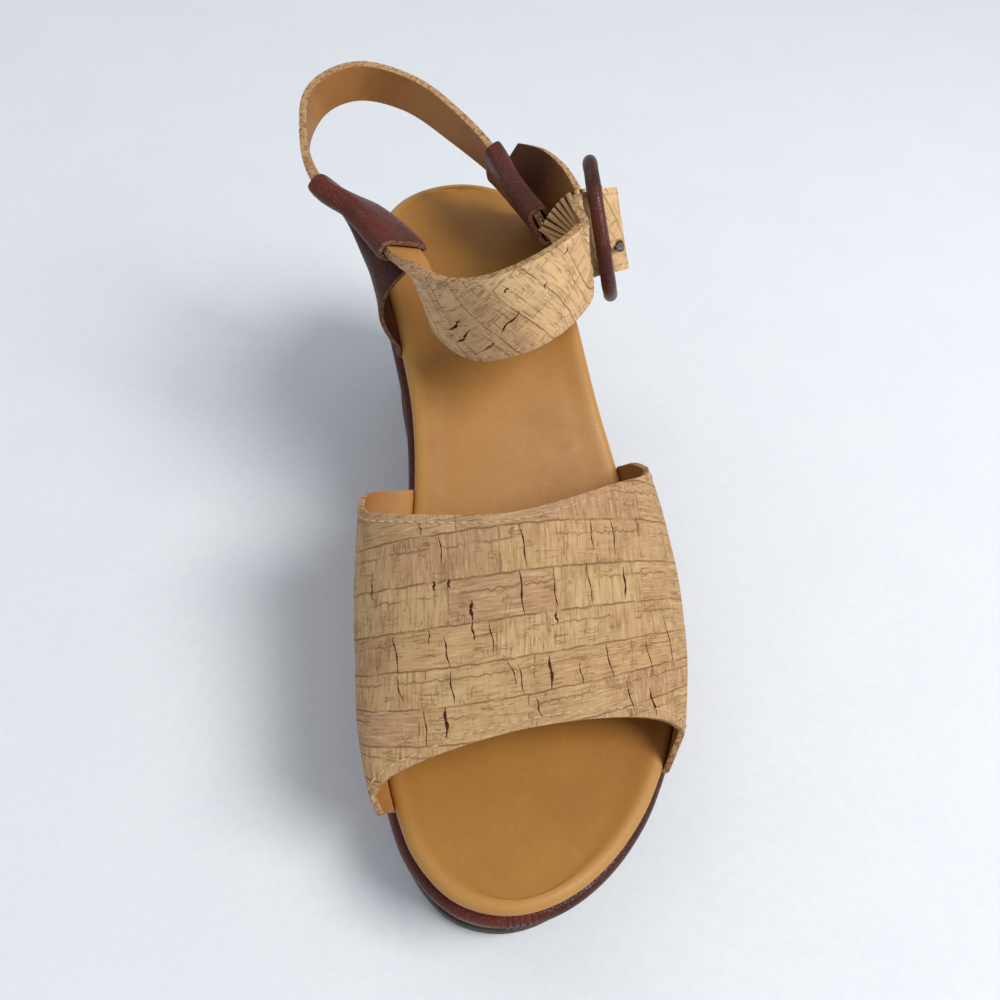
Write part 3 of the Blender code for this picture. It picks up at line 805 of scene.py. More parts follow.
@dataclass(frozen=True)
class Plain:
    """A finish of one colour family, clouded and finely grained."""

    name: str
    base: Colour
    other: Colour
    rough: tuple[float, float] = (0.55, 0.75)
    grain: float = 700.0
    depth: float = 0.00008
    metallic: float = 0.0
    gloss: float = 0.5

    def build(self) -> bpy.types.Material:
        """Make the finish.

        Returns:
            The material.
        """
        g = Graph(self.name)
        spot = g.place()
        fine = g.noise(spot, self.grain, 4.0, 0.6)
        broad = g.noise(spot, self.grain / 12, 3.0, 0.5)
        colour = g.mix(g.ease(g.plus(g.times(fine, 0.6), g.times(broad, 0.4)),
                              0.38, 0.64), self.base, self.other)
        g.shader.inputs["Metallic"].default_value = self.metallic
        return g.finish(colour, g.ease(fine, 0.3, 0.7, *self.rough), g.bump(fine, self.depth), self.gloss)


@dataclass(frozen=True)
class StrapLining:
    """Tan lining of the straps, dark brown towards the tip of the buckle strap's tail, partly its own brown
    and partly painted shade.
    """

    name: str = "strap_lining"
    base: Colour = (0.470, 0.215, 0.056)
    deep: Colour = (0.360, 0.150, 0.036)
    tip_lining_and_shade: Colour = (0.085, 0.028, 0.014)

    def build(self) -> bpy.types.Material:
        """Make the lining.

        Returns:
            The material.
        """
        g = Graph(self.name)
        spot = g.place()
        fine = g.noise(spot, 620.0, 4.0, 0.6)
        broad = g.noise(spot, 45.0, 3.0, 0.5)
        colour = g.mix(g.ease(broad, 0.36, 0.66), self.base, self.deep)
        _, _, tail = g.parts(g.flat())
        ragged = g.plus(tail, g.times(g.less(fine, 0.5), 0.25))
        # towards the tail's tip the lining turns dark: partly brown lining, partly painted shade
        colour = g.mix(g.ease(ragged, 0.30, 0.70), colour, self.tip_lining_and_shade)
        return g.finish(colour, g.ease(fine, 0.3, 0.7, 0.5, 0.66), g.bump(fine, 0.00008))


@dataclass(frozen=True)
class RibbedYarn:
    """Ribbed elastic: pale gold crests and dark valleys."""

    name: str = "ribbed_yarn"
    crest: Colour = (0.760, 0.520, 0.230)
    valley: Colour = (0.045, 0.018, 0.010)
    strand: Colour = (0.330, 0.190, 0.070)
    rough: float = 0.75
    relief: float = 0.00010

    def build(self) -> bpy.types.Material:
        """Make the yarn.

        Returns:
            The material.
        """
        g = Graph(self.name)
        x, y, rib = g.parts(g.flat())
        thread = g.noise(g.joined(g.times(x, 0.25), y), 5200.0, 2.0, 0.5)
        ragged = g.plus(rib, g.times(g.less(thread, 0.5), 0.9))
        colour = g.mix(g.ease(ragged, -0.45, 0.40), self.valley, self.crest)
        colour = g.mix(g.times(g.ease(thread, 0.45, 0.70), 0.45), colour, self.strand)
        return g.finish(colour, self.rough, g.bump(thread, self.relief))


@dataclass(frozen=True)
class CutEdge:
    """Cut edge of cork or leather, in thin layers along the wall."""

    name: str
    light: Colour
    dark: Colour
    rough: float = 0.8
    relief: float = 0.00018
    gloss: float = 0.25

    def build(self) -> bpy.types.Material:
        """Make the cut edge.

        Returns:
            The material.
        """
        g = Graph(self.name)
        spot = g.place()
        fine = g.noise(spot, 900.0, 4.0, 0.7)
        lumps = g.noise(spot, 260.0, 3.0, 0.6)
        colour = g.mix(g.ease(fine, 0.40, 0.66), self.light, self.dark)
        colour = g.mix(g.times(g.ease(lumps, 0.56, 0.70), 0.5), colour, self.dark)
        return g.finish(colour, self.rough, g.bump(fine, self.relief), self.gloss)


BROWN_LEATHER = Leather("brown_leather", (0.138, 0.025, 0.013), (0.054, 0.010, 0.006), (0.290, 0.075, 0.040))
BUCKLE_LEATHER = Leather("buckle_leather", (0.145, 0.025, 0.013), (0.056, 0.010, 0.006),
                         (0.300, 0.080, 0.040), rough=(0.28, 0.42), pebble=0.0008, depth=0.00014, gloss=0.35,
                         coat=0.06)
TAN_LINING = StrapLining()
CORK_EDGE = CutEdge("cork_edge", (0.54, 0.34, 0.165), (0.24, 0.11, 0.05))
LEATHER_EDGE = CutEdge("leather_edge", (0.30, 0.16, 0.095), (0.09, 0.030, 0.020))
VAMP_CORK = Cork("vamp_cork", ((0.505, 0.318, 0.158), (0.470, 0.280, 0.148), (0.530, 0.347, 0.168),
                               (0.492, 0.302, 0.146), (0.515, 0.325, 0.155)))
STRAP_CORK = Cork("strap_cork", ((0.730, 0.480, 0.245), (0.690, 0.430, 0.218), (0.750, 0.505, 0.262),
                                 (0.705, 0.450, 0.228)), band=0.0100, slice_length=0.0150,
                  turn=math.radians(28.0), flecks=0.06)
SOLE_RUBBER = Plain("sole_rubber", (0.050, 0.040, 0.034), (0.085, 0.066, 0.054), (0.65, 0.85),
                    grain=500.0)
THREAD = Plain("cream_thread", (0.62, 0.46, 0.27), (0.46, 0.32, 0.17), (0.6, 0.75), grain=2600.0)
DARK_METAL = Plain("dark_metal", (0.070, 0.050, 0.042), (0.120, 0.088, 0.070), (0.28, 0.46),
                   grain=900.0, depth=0.00003, metallic=1.0)
FLECK = Plain("bark_fleck", (0.085, 0.028, 0.014), (0.034, 0.011, 0.007), (0.8, 0.9), grain=1600.0,
              gloss=0.1)


# Shape of the last


@dataclass(frozen=True)
class Last:
    """The shape that footbed, wedge and upper share."""

    length: float = 0.248
    ball_width: float = 0.092
    seat_height: float = 0.0869
    forefoot_height: float = 0.0361
    toe_rise: float = 0.0026
    insole_thickness: float = 0.0055
    toe_spring: float = 0.0060
    outsole_thickness: float = 0.0040
    seat_end: float = 0.197
    ball_start: float = 0.742
    toe_rise_start: float = 0.86
    spring_start: float = 0.74
    # along, inner, outer: shares of the length and of half the ball width
    outline: tuple[Row, ...] = (
        (0.00, -0.07, 0.07),
        (0.02, 0.31, 0.41),
        (0.05, 0.49, 0.55),
        (0.10, 0.64, 0.64),
        (0.20, 0.69, 0.69),
        (0.30, 0.64, 0.71),
        (0.40, 0.61, 0.75),
        (0.50, 0.67, 0.84),
        (0.60, 0.815, 0.94),
        (0.70, 0.98, 0.975),
        (0.80, 1.08, 0.865),
        (0.90, 1.03, 0.54),
        (0.95, 0.91, 0.27),
        (0.98, 0.755, 0.02),
        (1.00, 0.40, -0.40),
    )
    heel_end: float = 0.0
    line: float = 0.0

    @classmethod
    def from_frame(cls) -> "Last":
        """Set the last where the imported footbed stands.

        Returns:
            The last, in the frame of the shoe.
        """
        low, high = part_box("insole")
        plain = cls()
        widest = max(plain.half_widths(k / 400)[0] for k in range(401))
        return cls(heel_end=high.y, line=low.x + widest)

    @property
    def half_ball(self) -> float:
        """Half the width at the ball."""
        return self.ball_width / 2

    def place(self, ahead: float, inner: float, height: float) -> Vector:
        """The point ahead of the heel end, inward of the last's line and above the floor."""
        return Vector((self.line - inner, self.heel_end - ahead, height))

    def half_widths(self, along: float) -> tuple[float, float]:
        """Inner and outer half width at a share of the length.

        Args:
            along: Share of the length.

        Returns:
            Both half widths.
        """
        rows = [(math.acos(1 - 2 * row[0]), row[1], row[2]) for row in self.outline]
        turn = math.acos(1 - 2 * min(max(along, 0.0), 1.0))
        return table_value(rows, 1, turn) * self.half_ball, table_value(rows, 2, turn) * self.half_ball

    def bed_height(self, along: float) -> float:
        """Height of the footbed's top at a share of the length.

        Args:
            along: Share of the length.

        Returns:
            The height.
        """
        ramp = smoothstep((along - self.seat_end) / (self.ball_start - self.seat_end))
        rise = max(0.0, (along - self.toe_rise_start) / (1 - self.toe_rise_start)) ** 2
        return self.seat_height + (self.forefoot_height - self.seat_height) * ramp + self.toe_rise * rise

    def floor_height(self, along: float) -> float:
        """Height of the sole's bottom, flat to the ball and springing up to the toe."""
        return self.toe_spring * max(0.0, (along - self.spring_start) / (1 - self.spring_start)) ** 2

    def wedge_top(self, along: float) -> float:
        """Height of the wedge's top under the footbed."""
        return self.bed_height(along) - self.insole_thickness - GAP

    def wedge_foot(self, along: float) -> float:
        """Height of the wedge's bottom on the outsole."""
        return self.floor_height(along) + self.outsole_thickness + GAP

    def edge_point(self, turn: float) -> Vector:
        """A point on the outline.

        Args:
            turn: Turn from the heel, by the inner side, to the toe at half a turn.

        Returns:
            The ahead and inner coordinates.
        """
        along = (1 - math.cos(turn)) / 2
        inner, outer = self.half_widths(along)
        return Vector((along * self.length, inner if turn <= math.pi else -outer))

    def edge_normal(self, turn: float) -> Vector:
        """Outward direction of the outline.

        Args:
            turn: Turn round the outline.

        Returns:
            The direction.
        """
        step, whole = 0.02, 2 * math.pi
        tangent = self.edge_point((turn + step) % whole) - self.edge_point((turn - step) % whole)
        tangent.normalize()
        return Vector((-tangent.y, tangent.x))

    def beside(self, turn: float, outset: float, height: Callable[[float], float]) -> Vector:
        """A point beside the outline.

        Args:
            turn: Turn round the outline.
            outset: Distance outward of it.
            height: Height as a function of the point's own share of the length.

        Returns:
            The point.
        """
        spot = self.edge_point(turn)
        shift = self.edge_normal(turn) * outset
        reached = min(max((spot.x + shift.x) / self.length, 0.0), 1.0)
        return self.place(spot.x + shift.x, spot.y + shift.y, height(reached))

    def flank(self, along: float, side: Side, outset: float, height: Callable[[float], float]) -> Vector:
        """A point beside the outline on one side of the foot.

        Args:
            along: Share of the length.
            side: Side of the foot.
            outset: Distance outward of the outline.
            height: Height as a function of the point's own share of the length.

        Returns:
            The point.
        """
        turn = math.acos(1 - 2 * min(max(along, 0.0), 1.0))
        if side is Side.OUTER:
            turn = (2 * math.pi - turn) % (2 * math.pi)
        return self.beside(turn, outset, height)

    def foot_path(self, along: float, side: Side, wall: float, margin: float) -> list[Vector]:
        """Points of a margin under the footbed.

        Args:
            along: Share of the length.
            side: Side of the foot.
            wall: Thickness of the piece.
            margin: How far it reaches under the footbed.

        Returns:
            The points, from the margin's end to the wall beside the edge.
        """
        clear = GAP + wall / 2

        def risen(share: float) -> Callable[[float], float]:
            """Height above the wedge's top."""
            return lambda reached: self.wedge_top(reached) + clear * (1 + share)

        return [self.flank(along, side, -margin, risen(0.0)),
                self.flank(along, side, -0.3 * margin, risen(0.0)),
                self.flank(along, side, -0.1 * clear, risen(0.15)),
                self.flank(along, side, 0.85 * clear, risen(0.95)),
                self.flank(along, side, clear, risen(2.2))]


# Sole and footbed


@dataclass(frozen=True)
class Sole:
    """Leather-wrapped wedge on its rubber bottom."""

    last: Last
    rim_overhang: float = 0.0020
    rim_roll: float = 0.0030
    base_tuck: float = 0.0095
    wall_flare: float = 0.8
    outsole_proud: float = 0.0008
    outsole_ease: float = 0.0006
    stations: int = 300
    # gathered seam at the front of the toe
    seam_along: float = 0.9999
    seam_step: float = 0.0016
    seam_stations: int = 60
    seam_shift: float = 0.0003
    seam_reach: float = 0.0075 * 0.55
    groove_depth: float = 1.6
    groove_width: float = 0.00035
    pleat: float = 0.0017
    pleat_depth: float = 0.00045
    # along, share of the tuck
    tuck: tuple[Row, ...] = (
        (0.00, 0.42),
        (0.05, 0.55),
        (0.10, 0.88),
        (0.20, 1.00),
        (0.40, 0.80),
        (0.60, 0.58),
        (0.80, 0.27),
        (1.00, 0.16),
    )

    def base_outset(self, along: float) -> float:
        """Outset of the wedge's foot from the outline."""
        return -table_value(self.tuck, 1, along) * self.base_tuck

    def turns(self) -> list[float]:
        """Turns of the stations, closer together at the toe's seam.

        Returns:
            The turns, rising.
        """
        plain = [2 * math.pi * k / self.stations for k in range(self.stations)]
        seam = self.seam_turn()
        dense = [seam + self.seam_step * k for k in range(-self.seam_stations, self.seam_stations + 1)]
        kept = [turn for turn in plain if abs(turn - seam) > self.seam_step * (self.seam_stations + 2)]
        return sorted(kept + dense)

    def seam_turn(self) -> float:
        """Turn of the toe's seam."""
        return math.acos(1 - 2 * self.seam_along)

    def pleats(self, turn: float) -> float:
        """Outward swell of the wrap's gathers.

        Args:
            turn: Turn round the outline.

        Returns:
            The swell.
        """
        gap = self.last.edge_point(turn) - self.last.edge_point(self.seam_turn())
        away = gap.length
        fade = math.exp(-(away / self.seam_reach) ** 2)
        side = math.copysign(1.0, turn - self.seam_turn())
        wave = math.cos(2 * math.pi * (away + self.seam_shift * side) / self.pleat)
        groove = self.groove_depth * math.exp(-(away / self.groove_width) ** 2)
        return self.pleat_depth * (wave * fade - groove)

    def ring(self, outset: Callable[[float], float], height: Callable[[float], float],
             swell: float = 0.0) -> list[Vector]:
        """A closed loop of points round the outline.

        Args:
            outset: Outset as a function of the share of the length.
            height: Height as a function of the share of the length.
            swell: Share of the gathers that shows at this level.

        Returns:
            The points.
        """
        points = []
        for turn in self.turns():
            along = (1 - math.cos(turn)) / 2
            extra = self.pleats(turn) * swell if swell else 0.0
            points.append(self.last.beside(turn, outset(along) + extra, height))
        return points

    def loft(self, rings: Sequence[list[Vector]], name: str) -> bpy.types.Mesh:
        """Close rings into one body with flat ends.

        Args:
            rings: Loops of points, from top to bottom.
            name: Name of the mesh.

        Returns:
            The mesh.
        """
        count = len(rings[0])
        points = [point for ring in rings for point in ring]
        faces = [face[::-1] for face in lattice(len(rings), count, wrap=True)]
        for start, flip in ((0, False), ((len(rings) - 1) * count, True)):
            loop = [start + k for k in range(count)]
            ladder = [(loop[k], loop[k + 1], loop[-k - 2], loop[-k - 1]) for k in range(count // 2 - 1)]
            ladder = [tuple(dict.fromkeys(face)) for face in ladder]
            faces += [face[::-1] if flip else face for face in ladder if len(face) > 2]
        mesh = raw_mesh(name, points, faces)
        upright_faces(mesh)
        mesh.set_sharp_from_angle(angle=RIM_ANGLE)
        return mesh

    def wrap(self, finish: bpy.types.Material) -> bpy.types.Object:
        """Build the wrapped wedge.

        Args:
            finish: Leather of the wrap.

        Returns:
            The wedge.
        """
        last = self.last
        rings = []
        for k in range(9):
            angle = math.radians(90 * k / 8)
            inset = 1 - math.sin(angle)
            drop = 1 - math.cos(angle)
            rings.append(self.ring(lambda along, i=inset: self.rim_overhang - i * self.rim_roll,
                                   lambda along, d=drop: last.wedge_top(along) - d * self.rim_roll, k / 8))
        for k in range(1, 13):
            share = (k / 12) ** 1.15

            def outset(along: float, share: float = share) -> float:
                """Outset of the wall at this share of its height."""
                reach = self.base_outset(along) - self.rim_overhang
                return self.rim_overhang + reach * share ** self.wall_flare

            def height(along: float, share: float = share) -> float:
                """Height of the wall at this share."""
                rim = last.wedge_top(along) - self.rim_roll
                return rim + (last.wedge_foot(along) - rim) * share

            rings.append(self.ring(outset, height, max(0.25, 1 - share * 1.4)))
        inner = self.ring(lambda along: self.rim_overhang - 3.2 * self.rim_roll, last.wedge_top)
        return new_piece("platform_wrap", self.loft([inner] + rings, "platform_wrap"), [finish],
                         ["platform"])

    def bottom(self, finish: bpy.types.Material) -> bpy.types.Object:
        """Build the rubber bottom.

        Args:
            finish: Rubber.

        Returns:
            The outsole.
        """
        last = self.last
        ease = self.outsole_ease

        def level(inset: float, rise: float) -> list[Vector]:
            """Ring at a height above the floor line."""
            return self.ring(lambda along: self.base_outset(along) + self.outsole_proud - inset,
                             lambda along: last.floor_height(along) + rise)

        rings = [level(0.003, last.outsole_thickness), level(ease, last.outsole_thickness)]
        for k in range(1, 5):
            angle = math.radians(90 * k / 4)
            drop = ease * (1 - math.cos(angle))
            rings.append(level(ease * (1 - math.sin(angle)), last.outsole_thickness - drop))
        for k in range(5):
            angle = math.radians(90 * k / 4)
            rings.append(level(ease * (1 - math.cos(angle)), ease * (1 - math.sin(angle))))
        mesh = self.loft(rings, "outsole_rubber")
        return new_piece("outsole_rubber", mesh, [finish], ["outsole"])


@dataclass(frozen=True)
class Footbed:
    """Honey leather footbed with a rolled edge."""

    last: Last
    rounding: float = 0.0026
    dish: float = 0.0012
    rim_dip: float = 0.00035
    stations: int = 260
    roll_steps: int = 10
    top_steps: int = 20

    def edge_rings(self) -> list[tuple[float, float]]:
        """Rings of the edge, from the underside to the top of the roll.

        Returns:
            Distance outward of the outline and depth below the top, for each ring.
        """
        r = self.rounding
        thick = self.last.insole_thickness
        rings = [(-1.25 * r, thick), (-0.35 * r, thick), (-0.08 * r, thick * 0.85), (0.0, thick * 0.62)]
        for k in range(self.roll_steps + 1):
            angle = math.radians(90 * k / self.roll_steps)
            rings.append((-1.3 * r * (1 - math.cos(angle)), r * (1 - math.sin(angle))))
        return rings

    def closing_faces(self, final: int) -> list[tuple[int, ...]]:
        """Faces that close the upper face along its middle line, and the underside.

        Args:
            final: Number of the innermost ring's first point.

        Returns:
            The faces.
        """
        count = self.stations
        half = count // 2
        faces = [(final + k, final + k + 1, final + (count - k - 1) % count, final + (count - k) % count)
                 for k in range(half)]
        faces += [(k, (count - k) % count, (count - k - 1) % count, k + 1) for k in range(half)]
        faces = [tuple(dict.fromkeys(face)) for face in faces]
        return [face for face in faces if len(face) > 2]

    def build(self, finish: bpy.types.Material) -> bpy.types.Object:
        """Build the footbed.

        Args:
            finish: Its leather.

        Returns:
            The footbed.
        """
        last = self.last
        count = self.stations
        points: list[Vector] = []
        rims: list[float] = []
        for outset, drop in self.edge_rings():
            for k in range(count):
                points.append(last.beside(2 * math.pi * k / count, outset,
                                          lambda reached, low=drop: last.bed_height(reached) - low))
                rims.append(max(0.0, -outset))
        # inward steps of the upper face, from the rolled edge to the middle line
        edge = [point.copy() for point in points[-count:]]
        for step in range(1, self.top_steps):
            share = (step / self.top_steps) ** 1.2
            for k in range(count):
                mate = edge[(count - k) % count]
                spot = edge[k].lerp((edge[k] + mate) / 2, share)
                along = min(max((last.heel_end - spot.y) / last.length, 0.0), 1.0)
                cup = self.dish * (1 - smoothstep(along * 2.2)) * math.sin(share * math.pi / 2)
                dip = self.rim_dip * smoothstep(share * 4)
                points.append(Vector((spot.x, spot.y, last.bed_height(along) - cup - dip)))
                rims.append(1.3 * self.rounding + (spot - edge[k]).length)
        faces = lattice(len(points) // count, count, wrap=True) + self.closing_faces(len(points) - count)
        # distance in from the rim, which sets the painted highlight along the rolled edge
        flat = np.array([(rim, 0.0, 0.0) for rim in rims])
        mesh = raw_mesh("footbed", points, faces, flat=flat)
        upright_faces(mesh)
        mesh.shade_smooth()
        footbed = new_piece("footbed", mesh, [finish], ["insole"])
        return footbed


# Upper


class Stitching:
    """A row of thread stitches laid on a surface."""

    def __init__(self, pitch: float = 0.0031, gap: float = 0.0009, thread: float = 0.00022) -> None:
        """Choose the stitch.

        Args:
            pitch: Length of one stitch with its gap.
            gap: Gap between stitches.
            thread: Radius of the thread.
        """
        self.pitch = pitch
        self.gap = gap
        self.thread = thread
        self.points: list[Vector] = []
        self.faces: list[tuple[int, ...]] = []

    def run(self, path: Sequence[Vector], normals: Sequence[Vector]) -> None:
        """Lay stitches along a path.

        Args:
            path: Points on the surface.
            normals: Outward direction at each point.
        """
        lengths = [0.0]
        for a, b in zip(path, path[1:]):
            lengths.append(lengths[-1] + (b - a).length)
        spots = np.array([tuple(point) for point in path])
        ups = np.array([tuple(normal) for normal in normals])
        count = int(lengths[-1] / self.pitch)
        for k in range(count):
            start = k * self.pitch + self.gap / 2
            marks = [start + (self.pitch - self.gap) * share for share in (0.0, 0.12, 0.5, 0.88, 1.0)]
            spine = []
            for share, mark in zip((-0.9, 0.35, 0.75, 0.35, -0.9), marks):
                spot = Vector([float(np.interp(mark, lengths, spots[:, i])) for i in range(3)])
                up = Vector([float(np.interp(mark, lengths, ups[:, i])) for i in range(3)]).normalized()
                spine.append((spot + up * self.thread * share, up))
            self.one(spine)

    def one(self, spine: Sequence[tuple[Vector, Vector]]) -> None:
        """Add one stitch.

        Args:
            spine: Points along the stitch, each with its outward direction.
        """
        sides = 6
        base = len(self.points)
        for k, (spot, up) in enumerate(spine):
            before, after = spine[max(k - 1, 0)][0], spine[min(k + 1, len(spine) - 1)][0]
            heading = (after - before).normalized()
            side = heading.cross(up).normalized()
            rise = side.cross(heading)
            size = self.thread * (0.55 if k in (0, len(spine) - 1) else 1.0)
            for j in range(sides):
                angle = 2 * math.pi * j / sides
                self.points.append(spot + (side * math.cos(angle) * 1.25 + rise * math.sin(angle)) * size)
        self.faces += lattice(len(spine), sides, base, wrap=True)
        self.faces.append(tuple(base + j for j in range(sides))[::-1])
        self.faces.append(tuple(base + (len(spine) - 1) * sides + j for j in range(sides)))

    def build(self, name: str, finish: bpy.types.Material, slot: str) -> bpy.types.Object:
        """Join all stitches into one piece."""
        return new_piece(name, raw_mesh(name, self.points, self.faces), [finish])


@dataclass(frozen=True)
class BarkSlits:
    """Dark slits of the bark, laid on the cork as thin ragged slivers."""

    lift: float = 0.00004
    sway: float = 0.00022
    steps: int = 9

    def half_width(self, share: float, widest: float, seed: float) -> float:
        """Half width of a sliver at a share of its length."""
        swell = math.sin(math.pi * min(max(share, 0.03), 0.97)) ** 0.6
        return widest * swell * (0.72 + 0.28 * math.sin(17 * share + seed))

    def lay(self, name: str, marks: Sequence[Row], surface: Callable[[float, float], tuple[Vector, Vector]],
            finish: bpy.types.Material) -> bpy.types.Object:
        """Lay slivers on a face.

        Args:
            name: Name of the piece.
            marks: Both coordinates of one end and of the other, and half the width in millimetres.
            surface: Point and outward direction of the face at two coordinates.
            finish: Dark bark.

        Returns:
            The slivers as one piece.
        """
        points: list[Vector] = []
        faces: list[tuple[int, ...]] = []
        for number, (a, b, c, d, half) in enumerate(marks):
            shares = [k / self.steps for k in range(self.steps + 1)]
            spine = [surface(a + (c - a) * share, b + (d - b) * share) for share in shares]
            faces += lattice(self.steps + 1, 2, len(points))
            for k, (share, (spot, normal)) in enumerate(zip(shares, spine)):
                heading = spine[min(k + 1, self.steps)][0] - spine[max(k - 1, 0)][0]
                side = heading.cross(normal).normalized()
                size = self.half_width(share, half / 1000, number * 2.4)
                middle = spot + normal * self.lift + side * self.sway * math.sin(8 * share + number)
                points += [middle + side * size, middle - side * size]
        return new_piece(name, raw_mesh(name, points, faces), [finish])


@dataclass(frozen=True)
class Vamp:
    """Wide cork strap over the toes."""

    last: Last
    wall: float = 0.0018
    crown: float = 0.0835
    front_crown: float = 0.0612
    shoulder: float = 0.0128
    side_share: float = 0.17
    lean: float = 0.0056
    roundness: float = 1.75
    margin: float = 0.0080
    stitch_inset: float = 0.0024
    rows: int = 96
    columns: int = 150
    # across from the outer to the inner foot, front, rear: shares of the length
    edges: tuple[Row, ...] = (
        (0.00, 0.874, 0.490),
        (0.12, 0.861, 0.513),
        (0.30, 0.840, 0.573),
        (0.50, 0.838, 0.626),
        (0.70, 0.853, 0.589),
        (0.88, 0.877, 0.525),
        (1.00, 0.866, 0.492),
    )
    # along, inner, outer: shares of half the ball width
    bulge: tuple[Row, ...] = (
        (0.48, 0.296, 0.000),
        (0.53, 0.296, 0.050),
        (0.63, 0.240, 0.030),
        (0.72, 0.140, -0.035),
        (0.80, 0.095, -0.058),
        (0.87, 0.090, -0.010),
    )
    # share of the way from front to rear over the middle, number of the cork's band
    bands: tuple[Row, ...] = (
        (-0.50, -2.90),
        (0.00, 0.12),
        (0.145, 1.00),
        (0.318, 2.00),
        (0.508, 3.00),
        (0.718, 4.00),
        (0.939, 5.00),
        (1.50, 7.70),
    )
    # across, how far the bands bend forward: shares of the length
    bend: tuple[Row, ...] = (
        (0.00, 0.070),
        (0.24, 0.030),
        (0.36, 0.0105),
        (0.44, 0.003),
        (0.52, 0.000),
        (0.60, 0.003),
        (0.68, 0.0125),
        (0.76, 0.025),
        (1.00, 0.075),
    )
    # dark slits: across and share at one end, the same at the other, half width in millimetres
    marks: tuple[Row, ...] = (
        (0.630, 0.960, 0.628, 0.905, 0.20),
        (0.603, 0.915, 0.600, 0.765, 0.20),
        (0.613, 0.710, 0.613, 0.670, 0.50),
        (0.593, 0.715, 0.593, 0.675, 0.50),
        (0.565, 0.615, 0.565, 0.520, 0.60),
        (0.565, 0.515, 0.562, 0.430, 0.35),
        (0.542, 0.510, 0.535, 0.360, 0.22),
        (0.680, 0.510, 0.670, 0.350, 0.25),
        (0.623, 0.510, 0.623, 0.445, 0.20),
        (0.603, 0.470, 0.595, 0.335, 0.28),
        (0.675, 0.345, 0.667, 0.245, 0.22),
        (0.595, 0.315, 0.590, 0.175, 0.25),
        (0.603, 0.175, 0.603, 0.055, 0.60),
        (0.633, 0.190, 0.633, 0.040, 0.20),
        (0.487, 0.935, 0.480, 0.735, 0.28),
        (0.492, 0.725, 0.487, 0.515, 0.35),
        (0.445, 0.675, 0.440, 0.505, 0.25),
        (0.443, 0.495, 0.440, 0.440, 0.50),
        (0.400, 0.690, 0.393, 0.510, 0.22),
        (0.345, 0.635, 0.343, 0.495, 0.45),
        (0.357, 0.860, 0.355, 0.690, 0.25),
        (0.310, 0.840, 0.310, 0.755, 0.20),
        (0.390, 0.880, 0.388, 0.735, 0.22),
        (0.375, 0.310, 0.360, 0.155, 0.25),
        (0.410, 0.245, 0.403, 0.145, 0.22),
        (0.450, 0.300, 0.445, 0.150, 0.55),
        (0.515, 0.315, 0.497, 0.195, 0.20),
        (0.495, 0.290, 0.485, 0.145, 0.20),
        (0.468, 0.125, 0.460, 0.035, 0.25),
        (0.343, 0.155, 0.325, 0.020, 0.22),
        (0.300, 0.110, 0.280, 0.010, 0.45),
        (0.310, 0.305, 0.292, 0.165, 0.22),
        (0.270, 0.420, 0.240, 0.205, 0.22),
        (0.720, 0.730, 0.718, 0.665, 0.25),
    )
    # across, share from front to rear, reach across, reach along, depth
    creases: tuple[Row, ...] = (
        (0.16, 0.30, 0.05, 0.30, 0.0006),
        (0.24, 0.72, 0.05, 0.22, -0.0005),
        (0.80, 0.40, 0.05, 0.34, 0.0005),
        (0.88, 0.78, 0.04, 0.20, 0.0007),
        (0.50, 0.90, 0.22, 0.10, 0.0005),
        (0.42, 0.35, 0.16, 0.30, -0.0004),
    )

    def along_at(self, across: float, share: float) -> float:
        """Share of the length at a place between front and rear edge."""
        front = table_value(self.edges, 1, across)
        return front + (table_value(self.edges, 2, across) - front) * share

    def ridge(self, along: float) -> float:
        """Height of the ridge.

        Args:
            along: Share of the length.

        Returns:
            The height.
        """
        front, rear = self.edges[3][1], self.edges[3][2]
        share = (along - front) / (rear - front)
        return self.front_crown + (self.crown - self.front_crown) * share - self.wall / 2

    def side_point(self, along: float, side: Side, rise: float) -> Vector:
        """Point of the side wall.

        Args:
            along: Share of the length.
            side: Side of the foot.
            rise: Share of the way up the wall.

        Returns:
            The point.
        """
        last = self.last
        clear = GAP + self.wall / 2
        swell = table_value(self.bulge, 1 if side is Side.INNER else 2, along) * last.half_ball

        def height(reached: float) -> float:
            """Height of the wall at this share of its way."""
            start = last.wedge_top(reached) + 3.2 * clear
            return start + (last.bed_height(reached) + self.shoulder - start) * rise

        return last.flank(along, side, clear + swell * math.sin(rise * math.pi / 2), height)

    def point(self, across: float, share: float) -> Vector:
        """Point of the middle surface.

        Args:
            across: Share of the way over the foot, from the outer side.
            share: Share of the way from the front edge to the rear edge.

        Returns:
            The point.
        """
        along = self.along_at(across, share)
        if across < self.side_share:
            return self.side_point(along, Side.OUTER, across / self.side_share)
        if across > 1 - self.side_share:
            return self.side_point(along, Side.INNER, (1 - across) / self.side_share)
        outer = self.side_point(along, Side.OUTER, 1.0)
        inner = self.side_point(along, Side.INNER, 1.0)
        turn = math.pi * (across - self.side_share) / (1 - 2 * self.side_share)
        swing = math.copysign(abs(math.cos(turn)) ** (2 / self.roundness), math.cos(turn))
        lift = abs(math.sin(turn)) ** (2 / self.roundness)
        spot = outer.lerp(inner, (1 - swing) / 2)
        spot.x -= self.lean * math.sin(turn)
        spot.z += (self.ridge(along) - spot.z) * lift
        return spot

    def crease(self, across: float, share: float) -> float:
        """Soft troughs and ridges of the worn strap.

        Args:
            across: Share of the way over the foot, from the outer side.
            share: Share of the way from the front edge to the rear edge.

        Returns:
            Depth below the plain strap.
        """
        depth = 0.0
        for mid_across, mid_share, reach_across, reach_along, fall in self.creases:
            away = ((across - mid_across) / reach_across) ** 2 + ((share - mid_share) / reach_along) ** 2
            depth -= fall * math.exp(-away)
        return depth

